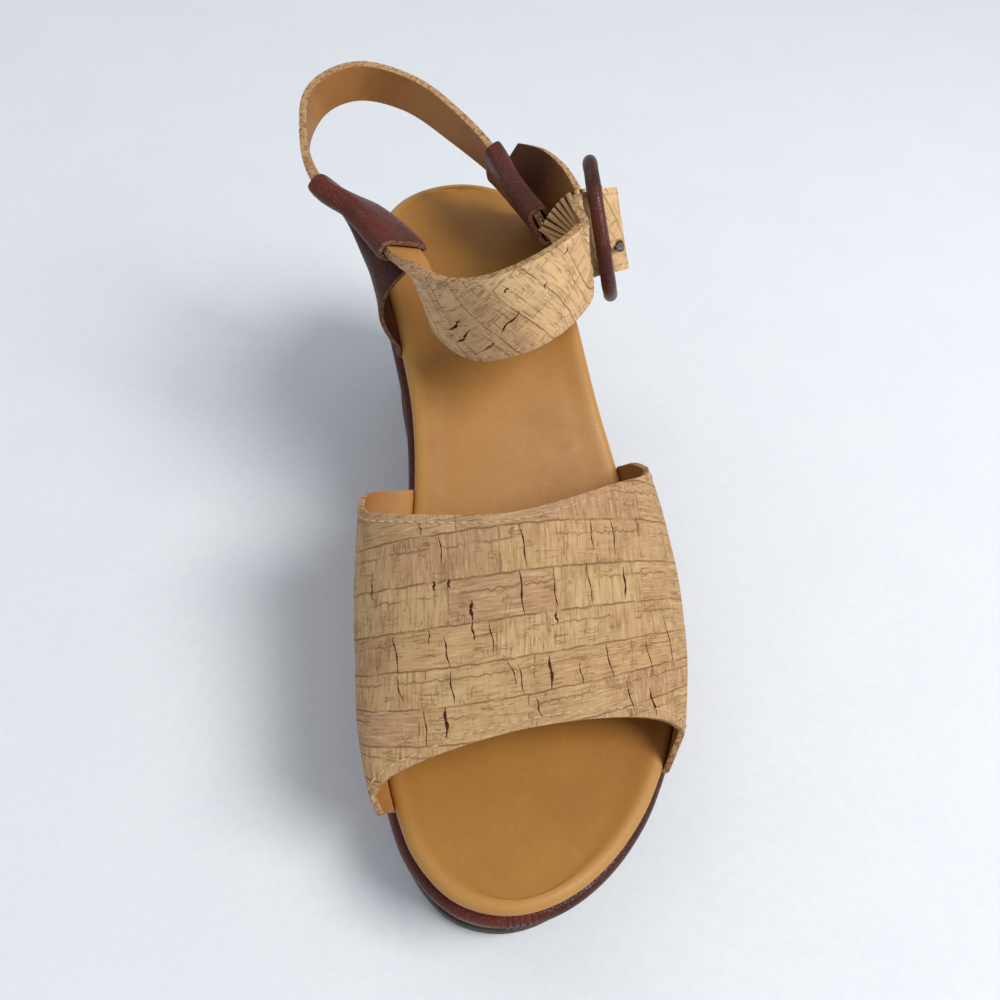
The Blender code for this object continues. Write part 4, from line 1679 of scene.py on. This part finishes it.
    def band_number(self, across: float, share: float) -> float:
        """Number of the cork's band.

        Args:
            across: Share of the way over the foot, from the outer side.
            share: Share of the way from the front edge to the rear edge.

        Returns:
            The number, with its share.
        """
        front, rear = self.edges[3][1], self.edges[3][2]
        along = self.along_at(across, share) + table_value(self.bend, 1, across)
        return table_value(self.bands, 1, (along - front) / (rear - front))

    def surface(self, across: float, share: float) -> tuple[Vector, Vector]:
        """Point of the outer face.

        Args:
            across: Share of the way over the foot, from the outer side.
            share: Share of the way from the front edge to the rear edge.

        Returns:
            The point and the outward direction there.
        """
        spot = self.point(across, share)
        over = self.point(across + 0.002, share) - spot
        back = self.point(across, share + 0.01) - spot
        normal = back.cross(over).normalized()
        return spot + normal * (self.wall / 2 - self.crease(across, share)), normal

    def grid(self) -> tuple[np.ndarray, np.ndarray]:
        """Lay out the strap.

        Returns:
            Points of the middle surface with its margins, and their flat places.
        """
        rows = []
        for i in range(self.rows + 1):
            share = i / self.rows
            row = self.last.foot_path(self.along_at(0.0, share), Side.OUTER, self.wall, self.margin)[:-1]
            row += [self.point(j / self.columns, share) for j in range(self.columns + 1)]
            inner = self.last.foot_path(self.along_at(1.0, share), Side.INNER, self.wall, self.margin)
            row += inner[:-1][::-1]
            rows.append([tuple(point) for point in row])
        grid = np.array(rows)
        normals = grid_normals(grid)
        worn = np.zeros(grid.shape[:2])
        for i in range(self.rows + 1):
            for j in range(self.columns + 1):
                worn[i, j + 4] = self.crease(j / self.columns, i / self.rows)
        grid += normals * worn[..., None] * -1
        flat = flat_lengths(grid)
        for i in range(self.rows + 1):
            for j in range(grid.shape[1]):
                across = min(max((j - 4) / self.columns, 0.0), 1.0)
                flat[i, j, 1] = self.band_number(across, i / self.rows) * VAMP_CORK.band
        return grid, flat

    def build(self, finishes: Sequence[bpy.types.Material]) -> bpy.types.Object:
        """Build the strap.

        Args:
            finishes: Cork, lining and cut edge.

        Returns:
            The strap.
        """
        grid, flat = self.grid()
        return layered_sheet("vamp_cork", grid, self.wall, finishes, 1, flat, nodes=["vamp"])

    def stitch(self, stitching: Stitching) -> None:
        """Lay the stitches beside the front and rear edges.

        Args:
            stitching: Stitching that they join.
        """
        for base, way in ((0.0, 1), (1.0, -1)):
            path, normals = [], []
            for j in range(4, self.columns * 2 - 3):
                across = j / (self.columns * 2)
                span = (self.point(across, 1.0) - self.point(across, 0.0)).length
                spot, normal = self.surface(across, base + way * self.stitch_inset / span)
                path.append(spot)
                normals.append(normal)
            stitching.run(path, normals)


@dataclass(frozen=True)
class BuckleFrame:
    """Place, turn and sizes of the leather-covered buckle."""

    last: Last
    length: float = 0.0450
    width: float = 0.0380
    bar_width: float = 0.0050
    bar_thickness: float = 0.0046
    centre_bar: float = 0.0028
    corner: float = 2.6
    ankle_height: float = 0.1266
    back: float = 0.289
    side: float = -0.765
    rise: float = 0.912
    yaw: float = math.radians(23.0)
    dip: float = math.radians(35.0)
    roll: float = math.radians(-22.0)
    seam: float = 0.00028
    stations: int = 180
    sides: int = 28
    bar_steps: int = 24
    bar_sides: int = 16

    @property
    def centre(self) -> Vector:
        """Middle of the frame."""
        return self.last.place(self.back * self.last.length, self.side * self.last.half_ball,
                               self.rise * self.ankle_height)

    @property
    def reach(self) -> float:
        """Distance from the centre bar to the front and rear bars."""
        return (self.width - self.bar_width) / 2

    def axes(self) -> tuple[Vector, Vector, Vector]:
        """Directions of the frame.

        Returns:
            Directions towards the rear bar, up the frame and outward.
        """
        level = math.cos(self.dip)
        rearward = Vector((math.sin(self.yaw) * level, math.cos(self.yaw) * level, -math.sin(self.dip)))
        upright = (Vector((0, 0, 1)) - rearward * rearward.z).normalized()
        upright = Matrix.Rotation(self.roll, 3, rearward) @ upright
        return rearward, upright, rearward.cross(upright)

    def oval(self) -> list[tuple[float, float]]:
        """Middle line of the frame's tube.

        Returns:
            Distance up the frame and towards its rear bar, for each point.
        """
        half_long, half_short = (self.length - self.bar_width) / 2, (self.width - self.bar_width) / 2
        path = []
        for k in range(self.stations):
            angle = 2 * math.pi * k / self.stations
            c, s = math.cos(angle), math.sin(angle)
            path.append((math.copysign(abs(s) ** (2 / self.corner), s) * half_long,
                         math.copysign(abs(c) ** (2 / self.corner), c) * half_short))
        return path

    def rim(self) -> tuple[list[Vector], list[tuple[int, ...]]]:
        """Tube of the oval frame, with the fold of its cover.

        Returns:
            Points and faces.
        """
        rearward, upright, outward = self.axes()
        path = self.oval()
        count, sides = self.stations, self.sides
        points = []
        for k, (long_way, short_way) in enumerate(path):
            before, after = path[k - 1], path[(k + 1) % count]
            tangent = Vector((after[0] - before[0], after[1] - before[1])).normalized()
            spot = self.centre + upright * long_way + rearward * short_way
            flank = upright * -tangent.y + rearward * tangent.x
            for j in range(sides):
                angle = 2 * math.pi * j / sides
                fold = self.seam * math.exp(-((math.cos(angle) * -1 - 1) / 0.02) ** 2)
                ease = 1 - 0.02 * (1 + math.sin(9 * 2 * math.pi * k / count))
                points.append(spot + flank * math.cos(angle) * (self.bar_width / 2 * ease + fold)
                              + outward * math.sin(angle) * self.bar_thickness / 2 * ease)
        last = (count - 1) * sides
        faces = lattice(count, sides, wrap=True)
        faces += [(last + j, last + (j + 1) % sides, (j + 1) % sides, j) for j in range(sides)]
        return points, faces

    def bar(self, start: int) -> tuple[list[Vector], list[tuple[int, ...]]]:
        """Centre bar.

        Args:
            start: Number of its first point.

        Returns:
            Points and faces.
        """
        rearward, upright, outward = self.axes()
        steps, sides = self.bar_steps, self.bar_sides
        span = self.length - self.bar_width
        points = []
        for k in range(steps + 1):
            for j in range(sides):
                angle = 2 * math.pi * j / sides
                points.append(self.centre + upright * span * (k / steps - 0.5)
                              + around(rearward, outward, angle) * self.centre_bar / 2)
        faces = lattice(steps + 1, sides, start, wrap=True)
        faces.append(tuple(start + j for j in range(sides)))
        faces.append(tuple(start + steps * sides + j for j in range(sides))[::-1])
        return points, faces

    def build(self, finish: bpy.types.Material) -> bpy.types.Object:
        """Build the oval frame with its centre bar.

        Args:
            finish: Leather of the cover.

        Returns:
            The buckle.
        """
        points, faces = self.rim()
        bar_points, bar_faces = self.bar(len(points))
        mesh = raw_mesh("buckle_frame", points + bar_points, faces + bar_faces)
        upright_faces(mesh)
        return new_piece("buckle_frame", mesh, [finish], ["buckle"])


@dataclass(frozen=True)
class Prong:
    """Round metal prong hooked on the centre bar."""

    buckle: BuckleFrame
    wire: float = 0.0021
    drop: float = 0.0060

    @property
    def hook(self) -> Vector:
        """Where it is hooked on the centre bar."""
        return self.buckle.centre - self.buckle.axes()[1] * self.drop

    def build(self, finish: bpy.types.Material) -> bpy.types.Object:
        """Build the prong.

        Args:
            finish: Its metal.

        Returns:
            The prong.
        """
        rearward, _, outward = self.buckle.axes()
        eye = self.buckle.centre_bar / 2 + GAP + self.wire / 2
        reach = self.buckle.reach
        over = self.buckle.bar_thickness / 2 + GAP + self.wire / 2
        spots = [self.hook + around(rearward, outward, math.radians(turn)) * eye
                 for turn in range(-120, 121, 12)]
        spots.append(self.hook - rearward * reach * 0.45 + outward * (over + 0.0017))
        spots.append(self.hook - rearward * reach * 0.80 + outward * (over + 0.0008))
        spots.append(self.hook - rearward * (reach + 0.0012) + outward * over)
        spine = curve_through(spots, 3)
        count = len(spine)
        radii = [self.wire / 2 * (1.0 if k < count - 6 else 1 - 0.09 * (k - count + 6)) for k in range(count)]
        mesh = tube_mesh("buckle_prong", spine, radii, 14)
        upright_faces(mesh)
        return new_piece("buckle_prong", mesh, [finish], ["prong"])


Section = tuple[Vector, Vector, float, Vector]


def ribbon_sections(keys: Sequence[tuple[Vector, Vector, float]], steps: int) -> list[Section]:
    """Sections of a ribbon.

    Args:
        keys: Centre, across direction and width at each key.
        steps: Sections from key to key.

    Returns:
        Centre, across direction, width and heading of each section.
    """
    centres = curve_through([key[0] for key in keys], steps)
    acrosses = curve_through([key[1] for key in keys], steps)
    widths = curve_through([Vector((key[2], 0, 0)) for key in keys], steps)
    sections = []
    for k, centre in enumerate(centres):
        heading = (centres[min(k + 1, len(centres) - 1)] - centres[max(k - 1, 0)]).normalized()
        across = (acrosses[k] - heading * acrosses[k].dot(heading)).normalized()
        sections.append((centre, across, widths[k].x, heading))
    return sections


def ribbon_grid(sections: Sequence[Section], columns: int) -> np.ndarray:
    """Grid of points of a ribbon through its sections."""
    return np.array([[tuple(centre + across * width * (j / columns - 0.5)) for j in range(columns + 1)]
                     for centre, across, width, _ in sections])


@dataclass(frozen=True)
class AnkleStrap:
    """Cork strap from the outer loop round the heel, over the instep and through the buckle."""

    last: Last
    buckle: BuckleFrame
    thickness: float = 0.0024
    heel_width: float = 0.0137
    instep_width: float = 0.0275
    billet_width: float = 0.0248
    tail_length: float = 0.0450
    weave: float = 0.0043
    hole: float = 0.0036
    hole_depth: float = 0.010
    inner_mouth: int = 10
    full_width_from: int = 13
    steps: int = 14
    columns: int = 18
    stitch_inset: float = 0.0018
    # ahead, side, rise, lean_ahead, lean_side
    line: tuple[Row, ...] = (
        (0.232, -0.460, 0.848, 0.15, 0.60),
        (0.165, -0.345, 0.856, 0.25, 0.55),
        (0.098, -0.235, 0.869, 0.36, 0.22),
        (0.044, 0.004, 0.909, 0.40, -0.11),
        (0.009, 0.326, 0.968, 0.33, -0.21),
        (-0.003, 0.715, 0.995, 0.20, -0.01),
        (0.019, 1.035, 0.966, 0.34, 0.20),
        (0.075, 1.150, 0.904, 0.43, 0.02),
        (0.150, 1.030, 0.869, 0.46, 0.70),
        (0.195, 0.785, 0.856, 0.70, 1.30),
        (0.266, 0.580, 0.842, 0.95, 1.90),
        (0.315, 0.512, 0.836, 0.40, 0.75),
        (0.356, 0.491, 0.840, 0.06, 0.22),
        (0.410, 0.315, 0.862, -0.18, 0.29),
        (0.436, 0.057, 0.914, -0.17, 0.40),
        (0.425, -0.239, 0.951, -0.15, 0.25),
        (0.383, -0.490, 0.957, -0.21, 0.14),
    )
    # along from the centre bar to the rear bar, out, up
    weave_line: tuple[Row, ...] = (
        (-1.15, -1.20, -0.045),
        (-0.77, -1.06, -0.022),
        (-0.40, 0.65, -0.020),
        (0.00, 1.35, -0.020),
        (0.40, 0.65, -0.010),
        (0.77, -1.04, 0.00),
        (1.15, -1.06, 0.00),
    )
    # length, width, inward, upward
    tail: tuple[Row, ...] = (
        (0.24, 0.92, 0.33, 0.45),
        (0.30, 0.82, 0.46, 0.95),
        (0.26, 0.60, 0.60, 0.92),
        (0.20, 0.22, 0.70, 0.95),
    )

    # dark slits: row of the line and share of the width at both ends, half width in millimetres
    marks: tuple[Row, ...] = (
        (13.05, 0.025, 12.70, -0.175, 0.55),
        (13.20, -0.087, 12.80, -0.325, 0.45),
        (13.55, -0.262, 13.35, -0.350, 0.30),
        (14.25, 0.025, 13.75, -0.162, 0.40),
        (14.20, 0.338, 14.10, 0.290, 0.30),
        (14.85, 0.200, 14.78, 0.130, 0.30),
        (15.40, 0.430, 15.25, 0.370, 0.30),
    )

    def surface(self, row: float, share: float) -> tuple[Vector, Vector]:
        """Point of the outer face of the strap.

        Args:
            row: Row of the line, with its share.
            share: Share of the width, from the middle.

        Returns:
            The point and the outward direction there.
        """
        centre, across, width, heading = self.sections(20)[round(row * 20)]
        outward = heading.cross(across).normalized()
        return centre + across * width * share + outward * self.thickness / 2, outward

    def width_at(self, k: int) -> float:
        """Width of the strap at a row of its line.

        Args:
            k: Number of the row.

        Returns:
            The width.
        """
        if k <= self.inner_mouth:
            return self.heel_width
        share = smoothstep((k - self.inner_mouth) / (self.full_width_from - self.inner_mouth))
        return self.heel_width + (self.instep_width - self.heel_width) * share

    def keys(self) -> list[tuple[Vector, Vector, float]]:
        """Keys of the whole strap.

        Returns:
            Centre, across direction and width at every key.
        """
        keys = []
        for k, (ahead, side, rise, lean_ahead, lean_side) in enumerate(self.line):
            centre = self.last.place(ahead * self.last.length, side * self.last.half_ball,
                                     rise * self.buckle.ankle_height)
            keys.append((centre, Vector((-lean_side, -lean_ahead, 1.0)).normalized(), self.width_at(k)))
        rearward, upright, outward = self.buckle.axes()
        for along, out, up in self.weave_line:
            spot = (self.buckle.centre + rearward * self.buckle.reach * along + outward * self.weave * out
                    + upright * up * self.buckle.length)
            keys.append((spot, upright, self.billet_width))
        for length, width, inward, upward in self.tail:
            heading = (rearward * (1 - inward) - outward * inward + upright * upward).normalized()
            spot = keys[-1][0] + heading * self.tail_length * length
            across = (upright - heading * upright.dot(heading)).normalized()
            keys.append((spot, across, self.billet_width * width))
        return keys

    def sections(self, steps: int) -> list[Section]:
        """Sections of the strap, a number of them from key to key."""
        return ribbon_sections(self.keys(), steps)

    def build(self, finishes: Sequence[bpy.types.Material], prong: Prong) -> bpy.types.Object:
        """Build the strap with the hole for its prong.

        Args:
            finishes: Cork, lining and cut edge.
            prong: The prong that passes through it.

        Returns:
            The strap.
        """
        grid = ribbon_grid(self.sections(self.steps), self.columns)
        flat = flat_lengths(grid)
        tail = len(self.tail) * self.steps
        # share along the tail, by which the lining darkens towards the tip with brown lining and painted
        # shade
        flat[-tail:, :, 2] = np.linspace(0.0, 1.0, tail)[:, None]
        piece = layered_sheet("ankle_strap_cork", grid, self.thickness, finishes, 1, flat, 0.0004,
                              nodes=["ankle_strap"])
        cutter = self.hole_rod(finishes, prong)
        cut = piece.modifiers.new("hole", "BOOLEAN")
        cut.operation = "DIFFERENCE"
        cut.object = cutter
        settle(piece)
        bpy.data.objects.remove(cutter)
        return piece

    def hole_rod(self, finishes: Sequence[bpy.types.Material], prong: Prong) -> bpy.types.Object:
        """Make the rod that cuts the prong's hole.

        Args:
            finishes: Cork, lining and cut edge.
            prong: The prong that passes through the hole.

        Returns:
            The rod.
        """
        rearward, upright, outward = self.buckle.axes()
        rod = bmesh.new()
        bmesh.ops.create_cone(rod, cap_ends=True, segments=32, radius1=self.hole / 2, radius2=self.hole / 2,
                              depth=self.hole_depth)
        tilted = (outward - rearward * 0.6).normalized()
        turn = Matrix((upright, tilted.cross(upright), tilted)).transposed().to_4x4()
        spot = prong.hook - rearward * self.buckle.reach * 0.27 + outward * self.weave
        stretch = Matrix.Diagonal((1.0, 1.5, 1.0, 1.0))
        bmesh.ops.transform(rod, matrix=Matrix.Translation(spot) @ turn @ stretch, verts=rod.verts)
        mesh = bpy.data.meshes.new("prong_hole")
        rod.to_mesh(mesh)
        rod.free()
        for finish in finishes:
            mesh.materials.append(finish)
        for polygon in mesh.polygons:
            polygon.material_index = Face.EDGE.value
        cutter = bpy.data.objects.new("prong_hole", mesh)
        bpy.context.scene.collection.objects.link(cutter)
        return cutter

    def stitch(self, stitching: Stitching) -> None:
        """Lay stitches beside both edges of the strap's outer face.

        Args:
            stitching: Stitching that they join.
        """
        sections = self.sections(6)
        for side in (-1, 1):
            path, normals = [], []
            for centre, across, width, heading in sections:
                outward = heading.cross(across).normalized()
                path.append(centre + across * side * (width / 2 - self.stitch_inset)
                            + outward * self.thickness / 2)
                normals.append(outward)
            stitching.run(path, normals)


@dataclass(frozen=True)
class Quarter:
    """Brown leather tab that stands on the footbed's edge and is folded into a loop."""

    strap: AnkleStrap
    name: str
    side: Side
    foot: tuple[float, float]
    rear: int
    mouth: int
    node: str
    belly: float
    wall: float = 0.0016
    margin: float = 0.0080
    play: float = 0.0010
    corner: float = 4.0
    start: float = -60.0
    turn: float = 315.0
    fold_steps: int = 60
    rise_steps: int = 18

    def build(self, finishes: Sequence[bpy.types.Material]) -> bpy.types.Object:
        """Build the tab.

        Args:
            finishes: Outer leather, inner face and cut edge.

        Returns:
            The tab.
        """
        last = self.strap.last
        steps = self.strap.steps
        tall = self.strap.heel_width / 2 + self.play + self.wall / 2
        thick = self.strap.thickness / 2 + self.play + self.wall / 2
        every = self.strap.sections(steps)
        way = 1 if self.mouth > self.rear else -1
        chosen = [every[k] for k in range(self.rear * steps, self.mouth * steps + way, way)]
        rows = []
        for k, (centre, up, _, heading) in enumerate(chosen):
            along = self.foot[0] + (self.foot[1] - self.foot[0]) * k / (len(chosen) - 1)
            outward = up.cross(heading)
            if outward.x * -self.side.value < 0:
                outward = -outward
            turns = [self.start + self.turn * j / self.fold_steps for j in range(self.fold_steps + 1)]
            fold = [self.fold_point(centre, up * tall, outward * thick, degrees) for degrees in turns]
            row = last.foot_path(along, self.side, self.wall, self.margin)
            knee = last.flank(along, self.side, GAP + self.wall / 2,
                              lambda reached: last.bed_height(reached) - GAP)
            swell = Vector((-self.side.value * self.belly * k / (len(chosen) - 1), 0, 0))
            row.append(knee)
            for j in range(1, self.rise_steps):
                bow = swell * math.sin(math.pi * j / self.rise_steps)
                row.append(knee.lerp(fold[0], j / self.rise_steps) + bow)
            rows.append([tuple(point) for point in row + fold])
        grid = np.array(rows)
        normals = grid_normals(grid)
        middle = normals[len(rows) // 2, 6 + self.rise_steps // 2]
        outward_sign = 1 if middle[0] * -self.side.value > 0 else -1
        return layered_sheet(self.name, grid, self.wall, finishes, outward_sign, nodes=[self.node])

    def fold_point(self, centre: Vector, up: Vector, out: Vector, degrees: float) -> Vector:
        """Point of the loop round the strap.

        Args:
            centre: Centre of the strap.
            up: Half the loop's height, as a direction.
            out: Half its thickness, as a direction.
            degrees: Place round the loop.

        Returns:
            The point.
        """
        c, s = math.cos(math.radians(degrees)), math.sin(math.radians(degrees))
        reach = (abs(c) ** self.corner + abs(s) ** self.corner) ** (-1 / self.corner)
        return centre + up * s * reach + out * c * reach


@dataclass(frozen=True)
class Elastic:
    """Ribbed elastic from the outer loop's mouth to the centre bar."""

    strap: AnkleStrap
    width: float = 0.0120
    thickness: float = 0.0013
    rise: float = 0.0068
    lead: float = 0.0060
    ribs: int = 15
    rib_depth: float = 0.00045
    columns: int = 10

    def keys(self) -> list[tuple[Vector, Vector, float]]:
        """Lay the elastic's way: the free length, its lead and the wrap round the centre bar.

        Returns:
            Centre, across direction and width at each key.
        """
        buckle = self.strap.buckle
        rearward, upright, outward = buckle.axes()
        mouth, across, _, heading = self.strap.sections(3)[0]
        hold = buckle.centre + upright * self.rise
        eye = buckle.centre_bar / 2 + GAP + self.thickness / 2
        start = mouth - heading * 4 * GAP
        keys = [(start, across, self.width), (start - heading * 0.005, across, self.width)]
        bend = [hold + around(rearward, outward, math.radians(turn)) * eye for turn in range(200, -61, -20)]
        lead = bend[0] - (bend[1] - bend[0]).normalized() * self.lead
        keys.append((keys[-1][0].lerp(lead, 0.5), (across + upright).normalized(), self.width))
        keys.append((lead, upright, self.width))
        return keys + [(spot, upright, self.width) for spot in bend]

    def build(self, finishes: Sequence[bpy.types.Material]) -> bpy.types.Object:
        """Build the elastic with its pleated ribs.

        Args:
            finishes: Yarn of the outer face, of the back and of the edges.

        Returns:
            The elastic.
        """
        keys = self.keys()
        free = ribbon_sections(keys[:5], 40)
        grid = ribbon_grid(free, self.columns)
        rows = len(free)
        wave = np.sin(np.arange(rows) / (rows - 1) * self.ribs * 2 * math.pi)
        ends = np.clip(np.minimum(np.arange(rows), np.arange(rows)[::-1]) / 12.0, 0.0, 1.0)
        grid += grid_normals(grid) * (wave * ends * self.rib_depth)[:, None, None]
        wrapped = ribbon_grid(ribbon_sections(keys[4:], 4), self.columns)
        grid = np.concatenate([grid, wrapped[1:]])
        flat = flat_lengths(grid)
        flat[:rows, :, 2] = (wave * ends)[:, None]
        return layered_sheet("elastic_ribs", grid, self.thickness * 0.45, finishes, 1, flat, 0.0001,
                             nodes=["elastic"])


# Studio


@dataclass(frozen=True)
class Studio:
    """Pale floor, soft light and the camera."""

    last: Last
    floor_reach: float = 3.0
    eye: tuple[float, float, float] = (0.28867, 0.05665, 0.27945)
    aim: tuple[float, float, float] = (0.12503, 0.00217, 0.0500)
    roll: float = math.radians(8.59)
    lens: float = 31.0
    sensor: float = 36.0
    room_light: float = 0.42
    room_colour: Colour = (0.90, 0.94, 1.0)

    def floor(self) -> None:
        """Lay the floor."""
        mesh = bpy.data.meshes.new("floor")
        reach = self.floor_reach
        mesh.from_pydata([(-reach, -reach, 0), (reach, -reach, 0), (reach, reach, 0), (-reach, reach, 0)], [],
                         [(0, 1, 2, 3)])
        pale = Plain("pale_floor", (0.830, 0.860, 0.900), (0.800, 0.835, 0.880), (0.75, 0.85),
                     grain=300.0, depth=0.00005)
        mesh.materials.append(pale.build())
        ground = bpy.data.objects.new("floor", mesh)
        bpy.context.scene.collection.objects.link(ground)

    def light(self, name: str, spot: tuple[float, float, float], size: float, power: float,
              colour: Colour) -> None:
        """Hang one soft lamp aimed at the shoe.

        Args:
            name: Its name.
            spot: Its place.
            size: Side of its square.
            power: Its power in watts.
            colour: Its colour.
        """
        lamp = bpy.data.lights.new(name, "AREA")
        lamp.size = size
        lamp.energy = power
        lamp.color = colour
        holder = bpy.data.objects.new(name, lamp)
        holder.location = spot
        holder.rotation_mode = "QUATERNION"
        holder.rotation_quaternion = (Vector((0, 0, 0.05)) - Vector(spot)).to_track_quat("-Z", "Y")
        bpy.context.scene.collection.objects.link(holder)

    def lights(self) -> None:
        """Hang the lamps and set the room's own light."""
        self.light("window", (0.75, -0.50, 1.20), 0.7, 17.0, (1.0, 0.98, 0.95))
        self.light("fill", (-0.6, 0.8, 0.9), 1.2, 2.6, (0.95, 0.97, 1.0))
        bpy.context.scene.view_settings.view_transform = "Standard"
        world = bpy.data.worlds.new("room")
        bpy.context.scene.world = world
        world.use_nodes = True
        background = world.node_tree.nodes["Background"]
        background.inputs[0].default_value = (*self.room_colour, 1.0)
        background.inputs[1].default_value = self.room_light

    def camera(self) -> None:
        """Set the camera at the photograph's angle to the shoe."""
        lens = bpy.data.cameras.new("camera")
        lens.lens = self.lens
        lens.sensor_width = self.sensor
        holder = bpy.data.objects.new("camera", lens)
        bpy.context.scene.collection.objects.link(holder)
        ahead, inner, height = self.eye
        spot = self.last.place(ahead, inner, height)
        aim = self.last.place(*self.aim)
        gaze = (aim - spot).normalized()
        holder.rotation_mode = "QUATERNION"
        level = gaze.to_track_quat("-Z", "Y")
        holder.rotation_quaternion = level @ Matrix.Rotation(self.roll, 3, "Z").to_quaternion()
        holder.location = spot
        bpy.context.scene.camera = holder


def main() -> None:
    """Build the sandal's pieces in order, then the studio."""
    logging.basicConfig(level=logging.INFO, format="%(message)s")
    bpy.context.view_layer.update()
    last = Last.from_frame()
    brown = BROWN_LEATHER.build()
    lining = TAN_LINING.build()
    cork_edge = CORK_EDGE.build()
    leather_edge = LEATHER_EDGE.build()
    thread = THREAD.build()
    rubber = SOLE_RUBBER.build()

    studio = Studio(last)
    studio.camera()

    sole = Sole(last)
    sole.wrap(brown)
    sole.bottom(rubber)
    Footbed(last).build(FootbedLeather().build())

    vamp = Vamp(last)
    vamp.build([VAMP_CORK.build(), lining, cork_edge])
    vamp_stitches = Stitching()
    vamp.stitch(vamp_stitches)
    vamp_stitches.build("vamp_stitches", thread, "cork")
    slits = BarkSlits()
    bark = FLECK.build()
    slits.lay("vamp_slits", vamp.marks, vamp.surface, bark)

    buckle = BuckleFrame(last)
    prong = Prong(buckle)
    strap = AnkleStrap(last, buckle)
    strap.build([STRAP_CORK.build(), lining, cork_edge], prong)
    strap_stitches = Stitching(pitch=0.0027, gap=0.0008, thread=0.00018)
    strap.stitch(strap_stitches)
    strap_stitches.build("strap_stitches", thread, "cork")
    slits.lay("strap_slits", strap.marks, strap.surface, bark)
    tab = [brown, brown, leather_edge]
    Quarter(strap, "inner_quarter", Side.INNER, foot=(0.175, 0.325), rear=8, mouth=10,
            node="quarter_inner", belly=0.0090).build(tab)
    Quarter(strap, "outer_quarter", Side.OUTER, foot=(0.105, 0.290), rear=2, mouth=0,
            node="quarter_outer", belly=0.0015).build(tab)
    ribs = RibbedYarn().build()
    Elastic(strap).build([ribs, ribs, ribs])
    buckle.build(BUCKLE_LEATHER.build())
    prong.build(DARK_METAL.build())

    studio.floor()
    studio.lights()


if __name__ == "__main__":
    main()
